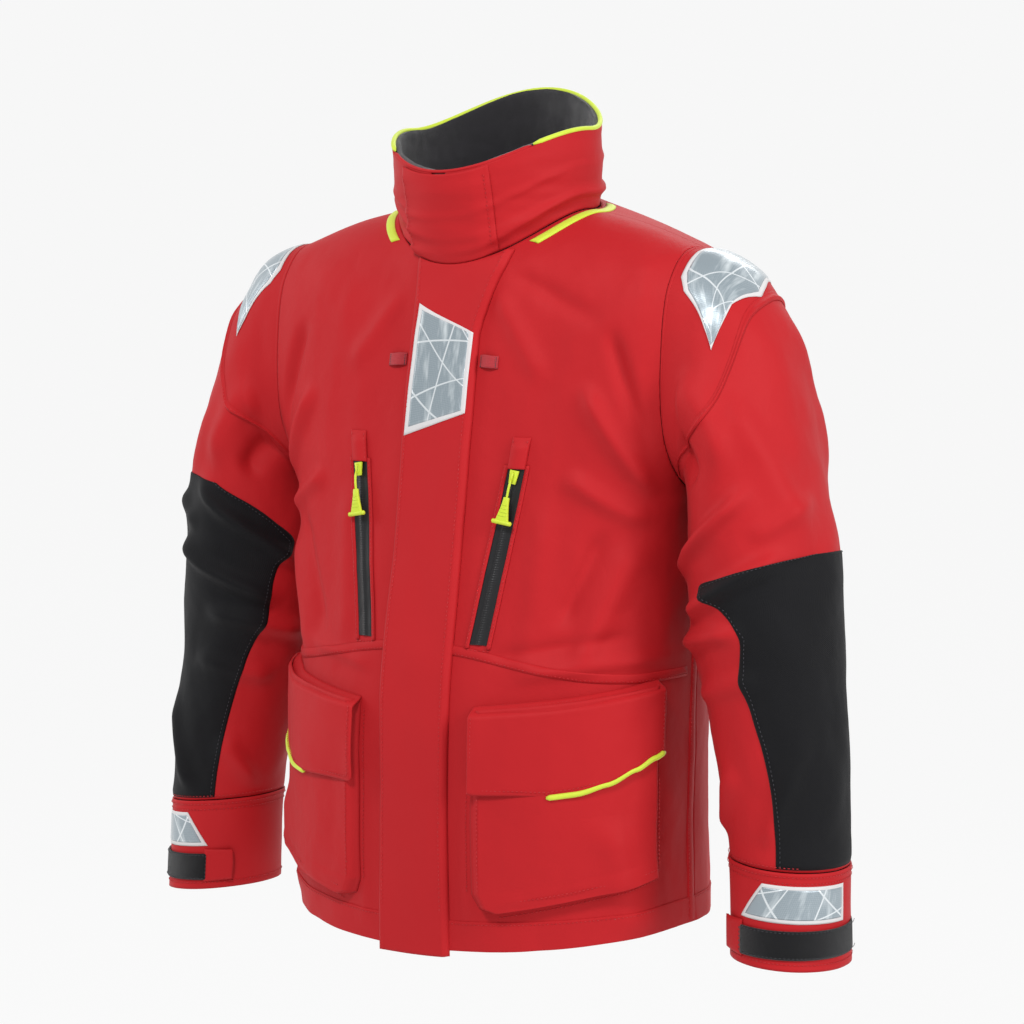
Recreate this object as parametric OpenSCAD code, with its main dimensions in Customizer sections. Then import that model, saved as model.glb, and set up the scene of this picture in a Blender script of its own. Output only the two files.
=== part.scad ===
// Foul weather jacket, men's large, shown as worn with the arms a little out from the sides.
// The front faces -Y, the wearer's left is +X and up is +Z. The origin is the middle of the
// neck opening, level with the nape seam, where the wearer's neck carries the jacket.

/* [Body] */
// Length of the back from the nape seam to the hem
back_length = 750; // [700:5:820]
// Width of the jacket at the hem
hem_width = 448; // [420:2:480]
// Width under the arms, between the armholes
armpit_width = 470; // [440:2:500]
// Wall of the outer body shell
shell_wall = 4; // [3:0.5:5]
// Wall of the lining
lining_wall = 1.2; // [1:0.1:1.6]
// How far the front hem dips below the side seams
hem_dip = 20; // [0:1:30]

/* [Collar] */
// Height of the collar at the side of the neck
collar_height = 80; // [60:1:95]
// Width of the neck seam
neck_width = 216; // [190:2:240]
// Depth of the neck seam, front to back
neck_depth = 182; // [160:2:200]
// Wall of the fleece collar lining
fleece_wall = 5; // [3:0.5:6]

/* [Sleeves] */
// Height of the oval armhole seam
armhole_height = 236; // [220:2:240]
// Depth of the armhole seam, front to back
armhole_depth = 176; // [160:2:190]
// Distance of the armhole's middle below the nape
armhole_drop = 183; // [178:1:190]
// Length of the sleeve from the armhole's middle to the cuff seam
sleeve_length = 480; // [450:5:520]
// Length of the cuff below its seam
cuff_length = 100; // [80:2:120]
// Wall of the sleeve
sleeve_wall = 4; // [3:0.5:5]

/* [Closure] */
// Width of the storm flap to the wearer's right of the zip
flap_right = 38; // [32:1:46]
// Width of the storm flap to the wearer's left of the zip, up to its sewn edge
flap_left = 42; // [36:1:50]
// Thickness of the storm flap
flap_wall = 3; // [2:0.5:4]
// Half the gap between the two front edges, which the zip bridges
zip_gap = 8; // [6:1:10]

/* [Chest pockets] */
// Depth below the nape of the top of each zip strip
chest_zip_top = 280; // [270:2:300]
// Depth below the nape of the bottom of each zip strip
chest_zip_bottom = 458; // [440:2:470]
// Distance of the strip's top from the front middle
chest_zip_x_top = 95; // [88:1:105]
// Distance of the strip's bottom from the front middle
chest_zip_x_bottom = 69; // [60:1:80]
// Width of each zip strip
chest_zip_width = 18; // [14:1:22]

/* [Cargo pockets] */
// How far each lower pocket stands off the body
pocket_depth = 14; // [8:1:18]
// Depth below the nape of the front top corner of each lower pocket
pocket_top = 521; // [505:1:540]
// Height of each lower pocket
pocket_height = 198; // [170:2:210]
// Height of each pocket flap
pocket_flap_height = 88; // [70:1:100]
// Thickness of the pocket flaps
pocket_flap_wall = 3; // [2:0.5:4]

/* [Trim] */
// Thickness of the reflective patches and the reinforcement panels
patch_wall = 1; // [0.8:0.1:1.5]
// Clear gap under every piece laid on the cloth
lay_gap = 0.5; // [0.3:0.1:0.8]
// Width of the high-visibility edging
piping_width = 5; // [4:0.5:7]
// Thickness of the cuff straps
strap_wall = 2.5; // [2:0.5:3.5]

/* [Hidden] */

RED = "#c92f33";
BLACK = "#1c1c20";
HI_VIS = "#d9ea4a";
SILVER = "#b9c2c8";

// Clear gap between the body and the sleeves, which turn against it
armhole_gap = 0.5;
// Half the width of the body where the sleeves begin
body_half = armpit_width / 2 - armhole_gap;
// Slope of the straight front edge: forward run for each millimetre of drop
front_slope = 0.157;
neck_front_drop = 78;
neck_side_drop = 23;
// Small step for finding the direction of a surface
tiny = 0.01;

// Forward reach of the front edge at a given depth below the nape
function front_reach(drop) = neck_depth / 2 - 1 + front_slope * (drop - neck_front_drop);

// Rings of the body: side height, then front and back height above the side, half width,
// forward reach, backward reach and squareness
body_rings = [
    [-back_length, -hem_dip, -hem_dip / 2, hem_width / 2, 160, 195, 2.15],
    [-0.84 * back_length, 0, 0, hem_width / 2 - 2, 163, 188, 2.2],
    [-0.68 * back_length, 0, 0, hem_width / 2 - 2, front_reach(510), 172, 2.3],
    [-410, 0, 0, hem_width / 2 + 2, front_reach(410), 158, 2.4],
    [-300, 0, 0, armpit_width / 2, front_reach(300), 150, 2.6],
    [-230, 0, 0, armpit_width / 2 + 27, front_reach(230), 150, 2.7],
    [-160, 0, 0, armpit_width / 2 + 50, front_reach(160), 143, 2.5],
    [-100, -25, 10, armpit_width / 2 + 54, front_reach(125), 132, 2.2],
    [-70, -35, 15, armpit_width / 2 + 20, front_reach(105), 122, 2.1],
    [-55, -40, 20, armpit_width / 2 - 15, front_reach(95), 114, 2.1],
    [-36, -50, 19, neck_width / 2 + 57, front_reach(86), 103, 2.1],
    [-neck_side_drop, neck_side_drop - neck_front_drop, neck_side_drop,
        neck_width / 2, neck_depth / 2 - 1, neck_depth / 2, 2]
];

// Rings of the collar, from the neck seam to the rim, in the same order
collar_rings = [
    [-neck_side_drop, neck_side_drop - neck_front_drop, neck_side_drop,
        neck_width / 2, neck_depth / 2 - 1, neck_depth / 2, 2],
    [-neck_side_drop + collar_height * 0.3, -50, 27, neck_width / 2 + 2, neck_depth / 2 + 8, neck_depth / 2 + 2, 2],
    [-neck_side_drop + collar_height * 0.65, -47, 35, neck_width / 2 + 3, neck_depth / 2 + 16, neck_depth / 2 + 3, 2],
    [-neck_side_drop + collar_height, -44, 43, neck_width / 2 + 2, neck_depth / 2 + 24, neck_depth / 2 + 1, 2]
];

armhole_middle_y = 12;
cuff_seam_z = -armhole_drop - sleeve_length;
cuff_end_z = cuff_seam_z - cuff_length;
// Height of a point that lies this far below the armhole's middle on a sleeve 480 mm long
function down_arm(drop) = -armhole_drop - drop * sleeve_length / 480;
// Rings of a sleeve from the cuff's end up to the armhole: position, inner point, outer point,
// middle and half depth
sleeve_rings = [
    [-11, 298, cuff_end_z + 4, 411, cuff_end_z - 6, -13, 67],
    [-10, 293, cuff_seam_z + 2, 409, cuff_seam_z - 8, -10, 66],
    [-9, 282, down_arm(417), 407, down_arm(426), -6, 69],
    [-8, 264, down_arm(349), 402, down_arm(354), -2, 75],
    [-7, 245, down_arm(279), 396, down_arm(275), 0, 81],
    [-6, armpit_width / 2 + 4, down_arm(223), 389, down_arm(209), 1, 86],
    [-5, armpit_width / 2 + 6, down_arm(173), 377, down_arm(143), 2, 88],
    [-4, armpit_width / 2 + 8, -330, 361, -258, 4, 90],
    [-3, armpit_width / 2 + 8, -316, 341, -186, 6, 91],
    [-2, armpit_width / 2 + 6, -307, 320, -126, 8, 91],
    [-1, armpit_width / 2 + 3, -302, 286, -84, 10, 90],
    [0, armpit_width / 2, -armhole_drop - armhole_height / 2, armpit_width / 2, -armhole_drop + armhole_height / 2,
        armhole_middle_y, armhole_depth / 2]
];

// Hermite blend of a table of rows whose first entry is the position
function row_slope(t, i) =
    let(a = max(0, i - 1), b = min(len(t) - 1, i + 1))
    (t[b] - t[a]) / (t[b][0] - t[a][0]);
function row_find(t, s, i = 0) = (i >= len(t) - 2 || s < t[i + 1][0]) ? i : row_find(t, s, i + 1);
function blend(t, s) =
    let(i = row_find(t, s), w = t[i + 1][0] - t[i][0], q = (s - t[i][0]) / w)
    (2 * q ^ 3 - 3 * q ^ 2 + 1) * t[i] + (q ^ 3 - 2 * q ^ 2 + q) * w * row_slope(t, i)
    + (3 * q ^ 2 - 2 * q ^ 3) * t[i + 1] + (q ^ 3 - q ^ 2) * w * row_slope(t, i + 1);

// A point of a ring: the angle runs from the wearer's left through the back
function on_ring(r, angle) =
    let(c = cos(angle), s = sin(angle), e = 2 / r[6])
    [r[3] * sign(c) * abs(c) ^ e,
     (s < 0 ? r[4] : r[5]) * sign(s) * abs(s) ^ e,
     r[0] + (s < 0 ? r[1] : r[2]) * s * s];
body_at = function (u, v) on_ring(blend(body_rings, v), u);
collar_at = function (u, v) on_ring(blend(collar_rings, v), u);
// A point of the left sleeve: the angle runs from the outer side through the back
sleeve_at = function (u, v)
    let(r = blend(sleeve_rings, v), out = [r[3] - r[1], 0, r[4] - r[2]] / 2)
    [r[1], r[5], r[2]] + out * (1 + cos(u)) + [0, r[6] * sin(u), 0];

// Angle on the front of the body at a distance across from the middle and a height
function front_angle(x, z) =
    let(r = blend(body_rings, z))
    sign(x) * -acos(min(1, (abs(x) / r[3]) ^ (r[6] / 2))) + (x < 0 ? -180 : 0);
function unit(v) = v / norm(v);
// A point lifted off a surface along its outward direction
function lift(f, u, v, h) =
    let(across = f(u + 40 * tiny, v) - f(u - 40 * tiny, v), up = f(u, v + tiny) - f(u, v - tiny))
    f(u, v) + h * unit(cross(across, up));

// Closed solid between two matching grids of points
module between(outer, inner, closed = false) {
    rows = len(outer);
    cols = len(outer[0]);
    last = closed ? cols : cols - 1;
    n = rows * cols;
    o = function (j, i) j * cols + i % cols;
    k = function (j, i) n + j * cols + i % cols;
    skins = [for (j = [0 : rows - 2]) for (i = [0 : last - 1]) each [
        [o(j, i), o(j + 1, i), o(j + 1, i + 1)], [o(j, i), o(j + 1, i + 1), o(j, i + 1)],
        [k(j, i), k(j + 1, i + 1), k(j + 1, i)], [k(j, i), k(j, i + 1), k(j + 1, i + 1)]]];
    ends = [for (i = [0 : last - 1]) each [
        [o(0, i), o(0, i + 1), k(0, i + 1)], [o(0, i), k(0, i + 1), k(0, i)],
        [o(rows - 1, i + 1), o(rows - 1, i), k(rows - 1, i)],
        [o(rows - 1, i + 1), k(rows - 1, i), k(rows - 1, i + 1)]]];
    sides = closed ? [] : [for (j = [0 : rows - 2]) each [
        [o(j + 1, 0), o(j, 0), k(j, 0)], [o(j + 1, 0), k(j, 0), k(j + 1, 0)],
        [o(j, cols - 1), o(j + 1, cols - 1), k(j + 1, cols - 1)],
        [o(j, cols - 1), k(j + 1, cols - 1), k(j, cols - 1)]]];
    polyhedron([for (r = outer) each r, for (r = inner) each r], concat(skins, ends, sides), convexity = 8);
}

// Sheet laid on a surface from low to high above it. Each row is a pair of corners, [angle,
// position], and the sheet is divided across and between the rows.
module sheet(f, corners, low, high, across, between_rows = 1) {
    count = len(corners) - 1;
    spots = [for (j = [0 : count * between_rows])
        let(i = min(count - 1, floor(j / between_rows)), q = j / between_rows - i)
        [for (k = [0 : across]) let(p = k / across)
            (1 - q) * ((1 - p) * corners[i][0] + p * corners[i][1])
            + q * ((1 - p) * corners[i + 1][0] + p * corners[i + 1][1])]];
    between(
        [for (r = spots) [for (s = r) lift(f, s[0], s[1], high)]],
        [for (r = spots) [for (s = r) lift(f, s[0], s[1], low)]]);
}

// Tube round a surface over a list of positions
module tube(f, positions, low, high, count) {
    between(
        [for (v = positions) [for (i = [0 : count - 1]) lift(f, 360 * i / count, v, high)]],
        [for (v = positions) [for (i = [0 : count - 1]) lift(f, 360 * i / count, v, low)]],
        closed = true);
}

// Leaves out what lies past the armholes
module inside_armholes() {
    difference() {
        children();
        for (side = [-1, 1])
            translate([side * (body_half + 200), 0, -400])
                cube([400, 800, 900], center = true);
    }
}

module other_side() {
    mirror([1, 0, 0]) children();
}

// Heights of the body's rings, with one more between each two
body_steps = [for (i = [0 : len(body_rings) - 2]) each
    let(a = body_rings[i][0], b = body_rings[i + 1][0]) i < 3 ? [a, (2 * a + b) / 3, (a + 2 * b) / 3] : [a, (a + b) / 2],
    body_rings[len(body_rings) - 1][0] - 0.2];
side_seam_angle = 6;

// Body shell over a range of angles
module body_shell(from, to, low, high, across, steps = body_steps) {
    inside_armholes()
        between(
            [for (v = steps) [for (i = [0 : across]) lift(body_at, from(v) + (to(v) - from(v)) * i / across, v, high)]],
            [for (v = steps) [for (i = [0 : across]) lift(body_at, from(v) + (to(v) - from(v)) * i / across, v, low)]]);
}

module front_panel() {
    body_shell(function (v) front_angle(zip_gap, v), function (v) side_seam_angle, -shell_wall, 0, 14);
}
module front_panel_left() {
    color(RED) front_panel();
}
module front_panel_right() {
    color(RED) other_side() front_panel();
}
module back_panel() {
    color(RED)
        body_shell(function (v) side_seam_angle, function (v) 180 - side_seam_angle, -shell_wall, 0, 26);
}
module body_lining() {
    steps = [for (v = body_steps) if (v > -back_length + 20 && v < -neck_side_drop - 5) v];
    color(BLACK)
        body_shell(function (v) front_angle(zip_gap + 14, v), function (v) 180 - front_angle(zip_gap + 14, v),
            -shell_wall - lay_gap - lining_wall, -shell_wall - lay_gap, 36, steps);
}

// Loop of tape inside the back of the neck that takes a hook or peg
loop_span = 70;
loop_drop = 12;
module hanging_loop() {
    back = neck_depth / 2 - shell_wall - fleece_wall - 4;
    color(BLACK)
        translate([0, back - 5, -8])
            rotate([90, 0, 0])
                linear_extrude(2.5, center = true)
                    difference() {
                        square([loop_span, loop_drop + 6], center = true);
                        square([loop_span - 14, loop_drop - 2], center = true);
                    }
}

// Collar shell between two heights above its surface, open at the front for the zip
collar_half_gap = 4.5;
collar_top = collar_rings[3][0];
collar_foot = collar_rings[0][0] + 0.3;
module collar_shell(low, high, foot, top, across, rise) {
    sheet(collar_at, [
        [[-90 + collar_half_gap, foot], [270 - collar_half_gap, foot]],
        [[-90 + collar_half_gap, top], [270 - collar_half_gap, top]]], low, high, across, rise);
}
module collar_outer() {
    color(RED) collar_shell(-shell_wall, 0, collar_foot, collar_top, 40, 4);
}
module collar_lining() {
    color(BLACK)
        collar_shell(-shell_wall - lay_gap - fleece_wall, -shell_wall - lay_gap, collar_foot, collar_top, 40, 4);
}
// High-visibility edging round the rim, except at the front where the tab covers it
module collar_piping() {
    color(HI_VIS)
        sheet(collar_at, [
            [[-38, collar_top + 0.4], [228, collar_top + 0.4]],
            [[-38, collar_top + 0.4 + piping_width * 0.7], [228, collar_top + 0.4 + piping_width * 0.7]]],
            -shell_wall - 2, 1, 30);
}
// Edging of the stowed hood's pocket, along the neck seam
module collar_seam_trim_half() {
    sheet(body_at, [
        [[-48, -neck_side_drop - 15], [34, -neck_side_drop - 7]],
        [[-48, -neck_side_drop - 4], [34, -neck_side_drop - 1.5]]], lay_gap, lay_gap + 2.5, 10);
}
module collar_seam_trim() {
    color(HI_VIS) {
        collar_seam_trim_half();
        other_side() collar_seam_trim_half();
    }
}

// Tab that continues the storm flap up the collar
flap_low = 6;
tab_left_angle = -62;
// How far the tab's foot stays above the neck seam, so that it clears the flap as both fold
tab_foot = 14;
tab_right_angle = -116;
module collar_tab() {
    color(RED)
        sheet(collar_at, [
            [[tab_right_angle, collar_foot + tab_foot], [tab_left_angle, collar_foot + tab_foot]],
            [[tab_right_angle, collar_top - 1], [tab_left_angle, collar_top - 1]]],
            flap_low, flap_low + flap_wall, 10, 4);
}

// Strip that follows the front edge line between two distances from the middle
function strip_rows(left, right, heights) =
    [for (z = heights) [[front_angle(-right, z), z], [front_angle(left, z), z]]];
zip_heights = [for (z = [-back_length + 12 : 36 : -44]) z, -34];
module front_strip(left, right, low, high, heights, across = 4) {
    sheet(body_at, strip_rows(left, right, heights), low, high, across);
}
module zip_guard() {
    color(BLACK) front_strip(zip_gap + 10, zip_gap + 10, -shell_wall - 2.5, -shell_wall - 1, zip_heights);
}
module main_zip_tape() {
    color(BLACK) front_strip(zip_gap - 0.5, zip_gap - 0.5, -3.2, -2.2, zip_heights, 2);
}
module main_zip_chain() {
    color(BLACK) front_strip(3, 3, -2.1, -0.6, zip_heights, 2);
}

// The chain's straight stretch: a point on the front at a depth below the nape
function front_point(drop, out) = [0, -front_reach(drop) - out, -drop];
chain_tilt = atan(front_slope);
slider_drop = 122;
module main_zip_slider() {
    color("#3a3a3e")
        translate(front_point(slider_drop, 1.6))
            rotate([-chain_tilt, 0, 0])
                cube([10, 2.4, 16], center = true);
}
module main_zip_pull() {
    color("#3a3a3e")
        translate(front_point(slider_drop + 12, 3.9))
            rotate([-chain_tilt, 0, 0])
                translate([0, 0, -6])
                    cube([7, 1.4, 26], center = true);
}

// Edge of the flap on the wearer's left, which flares towards the neck
function flap_edge(z) = flap_left + 16 * max(0, 1 - (-z - 60) / 90) ^ 1.5;
flap_overhang = 6;
flap_heights = [-back_length - flap_overhang, for (z = [-back_length + 34 : 40 : -70]) z, -54];
module storm_flap() {
    rows = [for (z = flap_heights) [[front_angle(-flap_right, z), z], [front_angle(flap_edge(z) - 1, z), z]]];
    color(RED)
        sheet(body_at, rows, flap_low, flap_low + flap_wall, 6);
}
// Sewn edge that carries the flap
module storm_flap_edge() {
    rows = [for (z = flap_heights) [[front_angle(flap_edge(z) - 7, z), z], [front_angle(flap_edge(z) - 1, z), z]]];
    color(RED) sheet(body_at, rows, lay_gap, flap_low - lay_gap, 1);
}
module flap_reflector() {
    base = flap_low + flap_wall + 0.1;
    color(SILVER)
        sheet(body_at, [
            [[front_angle(-flap_right + 4, -254), -254], [front_angle(flap_left - 3, -229), -229]],
            [[front_angle(-flap_right + 8, -92), -92], [front_angle(flap_left - 1, -143), -143]]],
            base, base + patch_wall, 4, 4);
}
// Small webbing loops beside the reflective patch
module lanyard_loops() {
    color(RED)
        for (side = [-1, 1])
            sheet(body_at, [
                [[front_angle(side * 50 - 4, -183), -183], [front_angle(side * 50 + 18, -183), -183]],
                [[front_angle(side * 50 - 4, -170), -170], [front_angle(side * 50 + 18, -170), -170]]],
                lay_gap, lay_gap + 2.5, 2);
}

// Chest zip: a straight strip between its top and bottom points
function chest_point(drop, x, out) = lift(body_at, front_angle(x, -drop), -drop, out);
function chest_x(drop) =
    chest_zip_x_top + (chest_zip_x_bottom - chest_zip_x_top) * (drop - chest_zip_top) / (chest_zip_bottom - chest_zip_top);
function chest_rows(from, to, width, count) =
    [for (i = [0 : count]) let(d = from + (to - from) * i / count)
        [[front_angle(chest_x(d) - width / 2, -d), -d], [front_angle(chest_x(d) + width / 2, -d), -d]]];
module chest_zip() {
    sheet(body_at, chest_rows(chest_zip_bottom, chest_zip_top, chest_zip_width, 6), lay_gap, lay_gap + 1, 2);
}
module chest_zip_left() {
    color(BLACK) chest_zip();
}
module chest_zip_right() {
    color(BLACK) other_side() chest_zip();
}
// Hood of cloth over the closed end of the zip
module zip_garage() {
    sheet(body_at, chest_rows(chest_zip_top - 1, chest_zip_top - 29, chest_zip_width, 2), lay_gap, lay_gap + 5, 2);
}
module zip_garage_left() {
    color(RED) zip_garage();
}
module zip_garage_right() {
    color(RED) other_side() zip_garage();
}

// Frame of the chest zip's slider: it stands on the strip and looks down the chain
slider_out = 3.6;
slider_start = chest_zip_top + 10;
slider_end = chest_zip_bottom - 12;
function chest_line() =
    chest_point(slider_end, chest_x(slider_end), slider_out) - chest_point(slider_start, chest_x(slider_start), slider_out);
module on_chest_zip(out) {
    start = chest_point(slider_start, chest_x(slider_start), slider_out);
    down = unit(chest_line());
    outward = unit(lift(body_at, front_angle(chest_x(370), -370), -370, 1) - body_at(front_angle(chest_x(370), -370), -370));
    side = unit(cross(down, outward));
    front = cross(side, down);
    multmatrix([
        [side[0], front[0], -down[0], start[0]],
        [side[1], front[1], -down[1], start[1]],
        [side[2], front[2], -down[2], start[2]]])
        translate([0, out, 0])
            children();
}
module chest_slider() {
    on_chest_zip(0) {
        cube([9, 2.6, 14], center = true);
        translate([0, 2.3, -2])
            cube([3, 2, 7], center = true);
    }
}
module chest_slider_left() {
    color(HI_VIS) chest_slider();
}
module chest_slider_right() {
    color(HI_VIS) other_side() chest_slider();
}
// Cord, flared grip and crossbar that hang from the slider
pull_out = 5.2;
module chest_pull() {
    on_chest_zip(pull_out) {
        translate([0, 0, -21])
            cylinder(h = 13.5, d = 2.6, $fn = 24);
        translate([0, 0, -45])
            rotate([90, 0, 0])
                linear_extrude(3, center = true)
                    polygon([[-7, 0], [7, 0], [3, 24], [-3, 24]]);
        translate([-11, 0, -46.5])
            rotate([0, 90, 0])
                cylinder(h = 22, d = 4, $fn = 24);
    }
}
module chest_pull_left() {
    color(HI_VIS) chest_pull();
}
module chest_pull_right() {
    color(HI_VIS) other_side() chest_pull();
}

// Lower pocket: corners at the front edge and at the side seam, which is set a little higher
pocket_front_x = 68;
pocket_side_angle = -14;
pocket_side_rise = 27;
function pocket_rows(drops, tuck) =
    [for (i = [0 : len(drops) - 1])
        [[front_angle(pocket_front_x + tuck[i], -pocket_top - drops[i]), -pocket_top - drops[i]],
         [pocket_side_angle, -pocket_top - drops[i] + pocket_side_rise]]];
module cargo_pocket() {
    sheet(body_at,
        pocket_rows([pocket_height, pocket_height - 18, pocket_height / 2, pocket_height / 4, 4], [20, 0, 0, 0, 0]),
        lay_gap, pocket_depth, 12);
}
module cargo_pocket_left() {
    color(RED) cargo_pocket();
}
module cargo_pocket_right() {
    color(RED) other_side() cargo_pocket();
}
flap_out = pocket_depth + 0.5;
module pocket_flap() {
    sheet(body_at, pocket_rows([pocket_flap_height, pocket_flap_height / 2, 0], [1, 0, 0]),
        flap_out, flap_out + pocket_flap_wall, 12);
}
module pocket_flap_left() {
    color(RED) pocket_flap();
}
module pocket_flap_right() {
    color(RED) other_side() pocket_flap();
}
module flap_piping() {
    sheet(body_at, pocket_rows([pocket_flap_height + 0.3 + piping_width, pocket_flap_height + 0.3], [30, 30]),
        flap_out, flap_out + pocket_flap_wall, 10);
}
module flap_piping_left() {
    color(HI_VIS) flap_piping();
}
module flap_piping_right() {
    color(HI_VIS) other_side() flap_piping();
}

// Sleeve pieces, drawn for the wearer's left
sleeve_sides = 28;
// Clear gap under the patches on the sleeve, which is more sharply curved than the body
sleeve_gap = 3 * lay_gap;
module sleeve() {
    difference() {
        tube(sleeve_at, [for (v = [-10 : 0.5 : 0]) v], -sleeve_wall, 0, sleeve_sides);
        translate([armpit_width / 2 - 100, 0, -400])
            cube([200, 800, 900], center = true);
    }
}
module sleeve_left() {
    color(RED) sleeve();
}
module sleeve_right() {
    color(RED) other_side() sleeve();
}
// Panel over the elbow and forearm, with a point that reaches round to the front. The forearms
// are turned differently, so each side has its own rows, from the cuff up.
elbow_low = sleeve_gap + 0.8;
elbow_rows_left = [
    [[-72, -9.95], [70, -9.95]],
    [[-72, -8.75], [84, -8.8]],
    [[-80, -7.8], [95, -7.9]],
    [[-85, -7.3], [105, -7.4]],
    [[-80, -6.7], [108, -6.8]],
    [[-98, -6.1], [110, -6.3]],
    [[-112, -5.8], [108, -6]],
    [[-74, -5.65], [80, -5.75]],
    [[-30, -5.5], [42, -5.55]]];
elbow_rows_right = [
    [[-116, -9.95], [26, -9.95]],
    [[-119, -8.7], [38, -8.7]],
    [[-128, -7.6], [48, -7.7]],
    [[-138, -7.0], [56, -7.1]],
    [[-140, -6.5], [60, -6.6]],
    [[-147, -5.9], [62, -6.1]],
    [[-157, -5.5], [60, -5.7]],
    [[-134, -4.95], [40, -5.2]],
    [[-100, -4.5], [0, -4.8]]];
module elbow_panel(rows) {
    sheet(sleeve_at, rows, elbow_low, elbow_low + patch_wall, 24, 2);
}
module elbow_panel_left() {
    color(BLACK) elbow_panel(elbow_rows_left);
}
module elbow_panel_right() {
    color(BLACK) other_side() elbow_panel(elbow_rows_right);
}
// Patch laid over the top of the shoulder, pointed at both ends
module shoulder_reflector() {
    sheet(sleeve_at, [
        [[-61, -1.62], [-58, -1.6]],
        [[-52, -0.85], [-36, -1.45]],
        [[-45, -0.3], [-8, -1.65]],
        [[-16, -0.25], [14, -1.3]],
        [[20, -0.3], [40, -0.9]]], sleeve_gap, sleeve_gap + patch_wall, 6, 3);
}
module shoulder_reflector_left() {
    color(SILVER) shoulder_reflector();
}
module shoulder_reflector_right() {
    color(SILVER) other_side() shoulder_reflector();
}
module cuff() {
    tube(sleeve_at, [-11, -10.7, -10.35, -10.02], -sleeve_wall, 0.4, sleeve_sides);
}
module cuff_left() {
    color(RED) cuff();
}
module cuff_right() {
    color(RED) other_side() cuff();
}
module cuff_reflector() {
    sheet(sleeve_at, [
        [[-112, -10.54], [0, -10.54]],
        [[-86, -10.16], [0, -10.16]]], sleeve_gap + 0.8, sleeve_gap + 0.8 + patch_wall, 20, 3);
}
module cuff_reflector_left() {
    color(SILVER) cuff_reflector();
}
module cuff_reflector_right() {
    color(SILVER) other_side() cuff_reflector();
}
// Strap that closes the cuff: sewn at the outer back, free at the inner front
strap_low = sleeve_gap + patch_wall + lay_gap + 0.8;
strap_sewn_angle = 35;
module cuff_strap() {
    sheet(sleeve_at, [
        [[-112, -10.9], [strap_sewn_angle, -10.86]],
        [[-112, -10.62], [strap_sewn_angle, -10.58]]], strap_low, strap_low + strap_wall, 12);
}
module cuff_strap_left() {
    color(BLACK) cuff_strap();
}
module cuff_strap_right() {
    color(BLACK) other_side() cuff_strap();
}
// Stiff tab at the strap's free end, for gripping it
module cuff_tab() {
    sheet(sleeve_at, [
        [[-138, -10.92], [-112.5, -10.92]],
        [[-138, -10.57], [-112.5, -10.57]]], strap_low, strap_low + strap_wall, 2);
}
module cuff_tab_left() {
    color(RED) cuff_tab();
}
module cuff_tab_right() {
    color(RED) other_side() cuff_tab();
}

front_panel_left();
front_panel_right();
back_panel();
body_lining();
hanging_loop();
collar_outer();
collar_lining();
collar_piping();
collar_seam_trim();
collar_tab();
zip_guard();
main_zip_tape();
main_zip_chain();
main_zip_slider();
main_zip_pull();
storm_flap();
storm_flap_edge();
flap_reflector();
lanyard_loops();
chest_zip_left();
chest_zip_right();
zip_garage_left();
zip_garage_right();
chest_slider_left();
chest_slider_right();
chest_pull_left();
chest_pull_right();
cargo_pocket_left();
cargo_pocket_right();
pocket_flap_left();
pocket_flap_right();
flap_piping_left();
flap_piping_right();
sleeve_left();
sleeve_right();
elbow_panel_left();
elbow_panel_right();
shoulder_reflector_left();
shoulder_reflector_right();
cuff_left();
cuff_right();
cuff_reflector_left();
cuff_reflector_right();
cuff_strap_left();
cuff_strap_right();
cuff_tab_left();
cuff_tab_right();
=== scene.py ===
import functools
import math

import bmesh
import bpy
from mathutils import Matrix, Vector, noise


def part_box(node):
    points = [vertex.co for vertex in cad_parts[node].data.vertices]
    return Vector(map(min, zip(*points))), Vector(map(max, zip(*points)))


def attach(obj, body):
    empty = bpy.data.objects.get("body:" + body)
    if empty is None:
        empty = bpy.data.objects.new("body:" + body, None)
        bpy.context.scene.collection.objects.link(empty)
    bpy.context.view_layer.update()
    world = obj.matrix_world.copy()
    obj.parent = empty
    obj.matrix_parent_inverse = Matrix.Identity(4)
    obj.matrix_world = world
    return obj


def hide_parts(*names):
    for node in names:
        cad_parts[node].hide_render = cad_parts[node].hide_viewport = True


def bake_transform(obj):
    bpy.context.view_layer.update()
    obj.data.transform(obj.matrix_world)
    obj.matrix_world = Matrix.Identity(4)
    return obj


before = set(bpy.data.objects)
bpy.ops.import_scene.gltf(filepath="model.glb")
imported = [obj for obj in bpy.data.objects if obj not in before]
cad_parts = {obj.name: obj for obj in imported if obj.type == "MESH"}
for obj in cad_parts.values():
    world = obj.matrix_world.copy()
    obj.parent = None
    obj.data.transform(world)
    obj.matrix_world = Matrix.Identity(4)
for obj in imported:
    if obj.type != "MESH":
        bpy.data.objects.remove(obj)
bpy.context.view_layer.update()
MM = 0.001

# ---------------------------------------------------------------- sizes, in millimetres
HEM_DIP = 10
BACK_LENGTH = -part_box("back_panel")[0][2] / MM - HEM_DIP
HEM = -round(BACK_LENGTH)
SLEEVE_X = 235.0
SHELL_WALL = 1.6
ZIP_GAP = 8
FLAP_RIGHT, FLAP_LEFT = 38, 42
CHEST_TOP, CHEST_BOTTOM = 280, 458
CHEST_X_TOP, CHEST_X_BOTTOM, CHEST_WIDTH = 95, 69, 18
POCKET_TOP, POCKET_HEIGHT = 521, 198
POCKET_FRONT_X, POCKET_SIDE_ANGLE, POCKET_SIDE_RISE = 68, -14, 27
ARMHOLE_DROP, ARMHOLE_Y, ARMHOLE_FOOT = 183, 12, -318
SLEEVE_LENGTH, CUFF_LENGTH = 480, 100
SIDE_SEAM = 6
SIDES = ((1, "left"), (-1, "right"))


# ---------------------------------------------------------------- the jacket's outer surfaces
def front_reach(drop):
    return 90 + 0.157 * (drop - 78)


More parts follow.
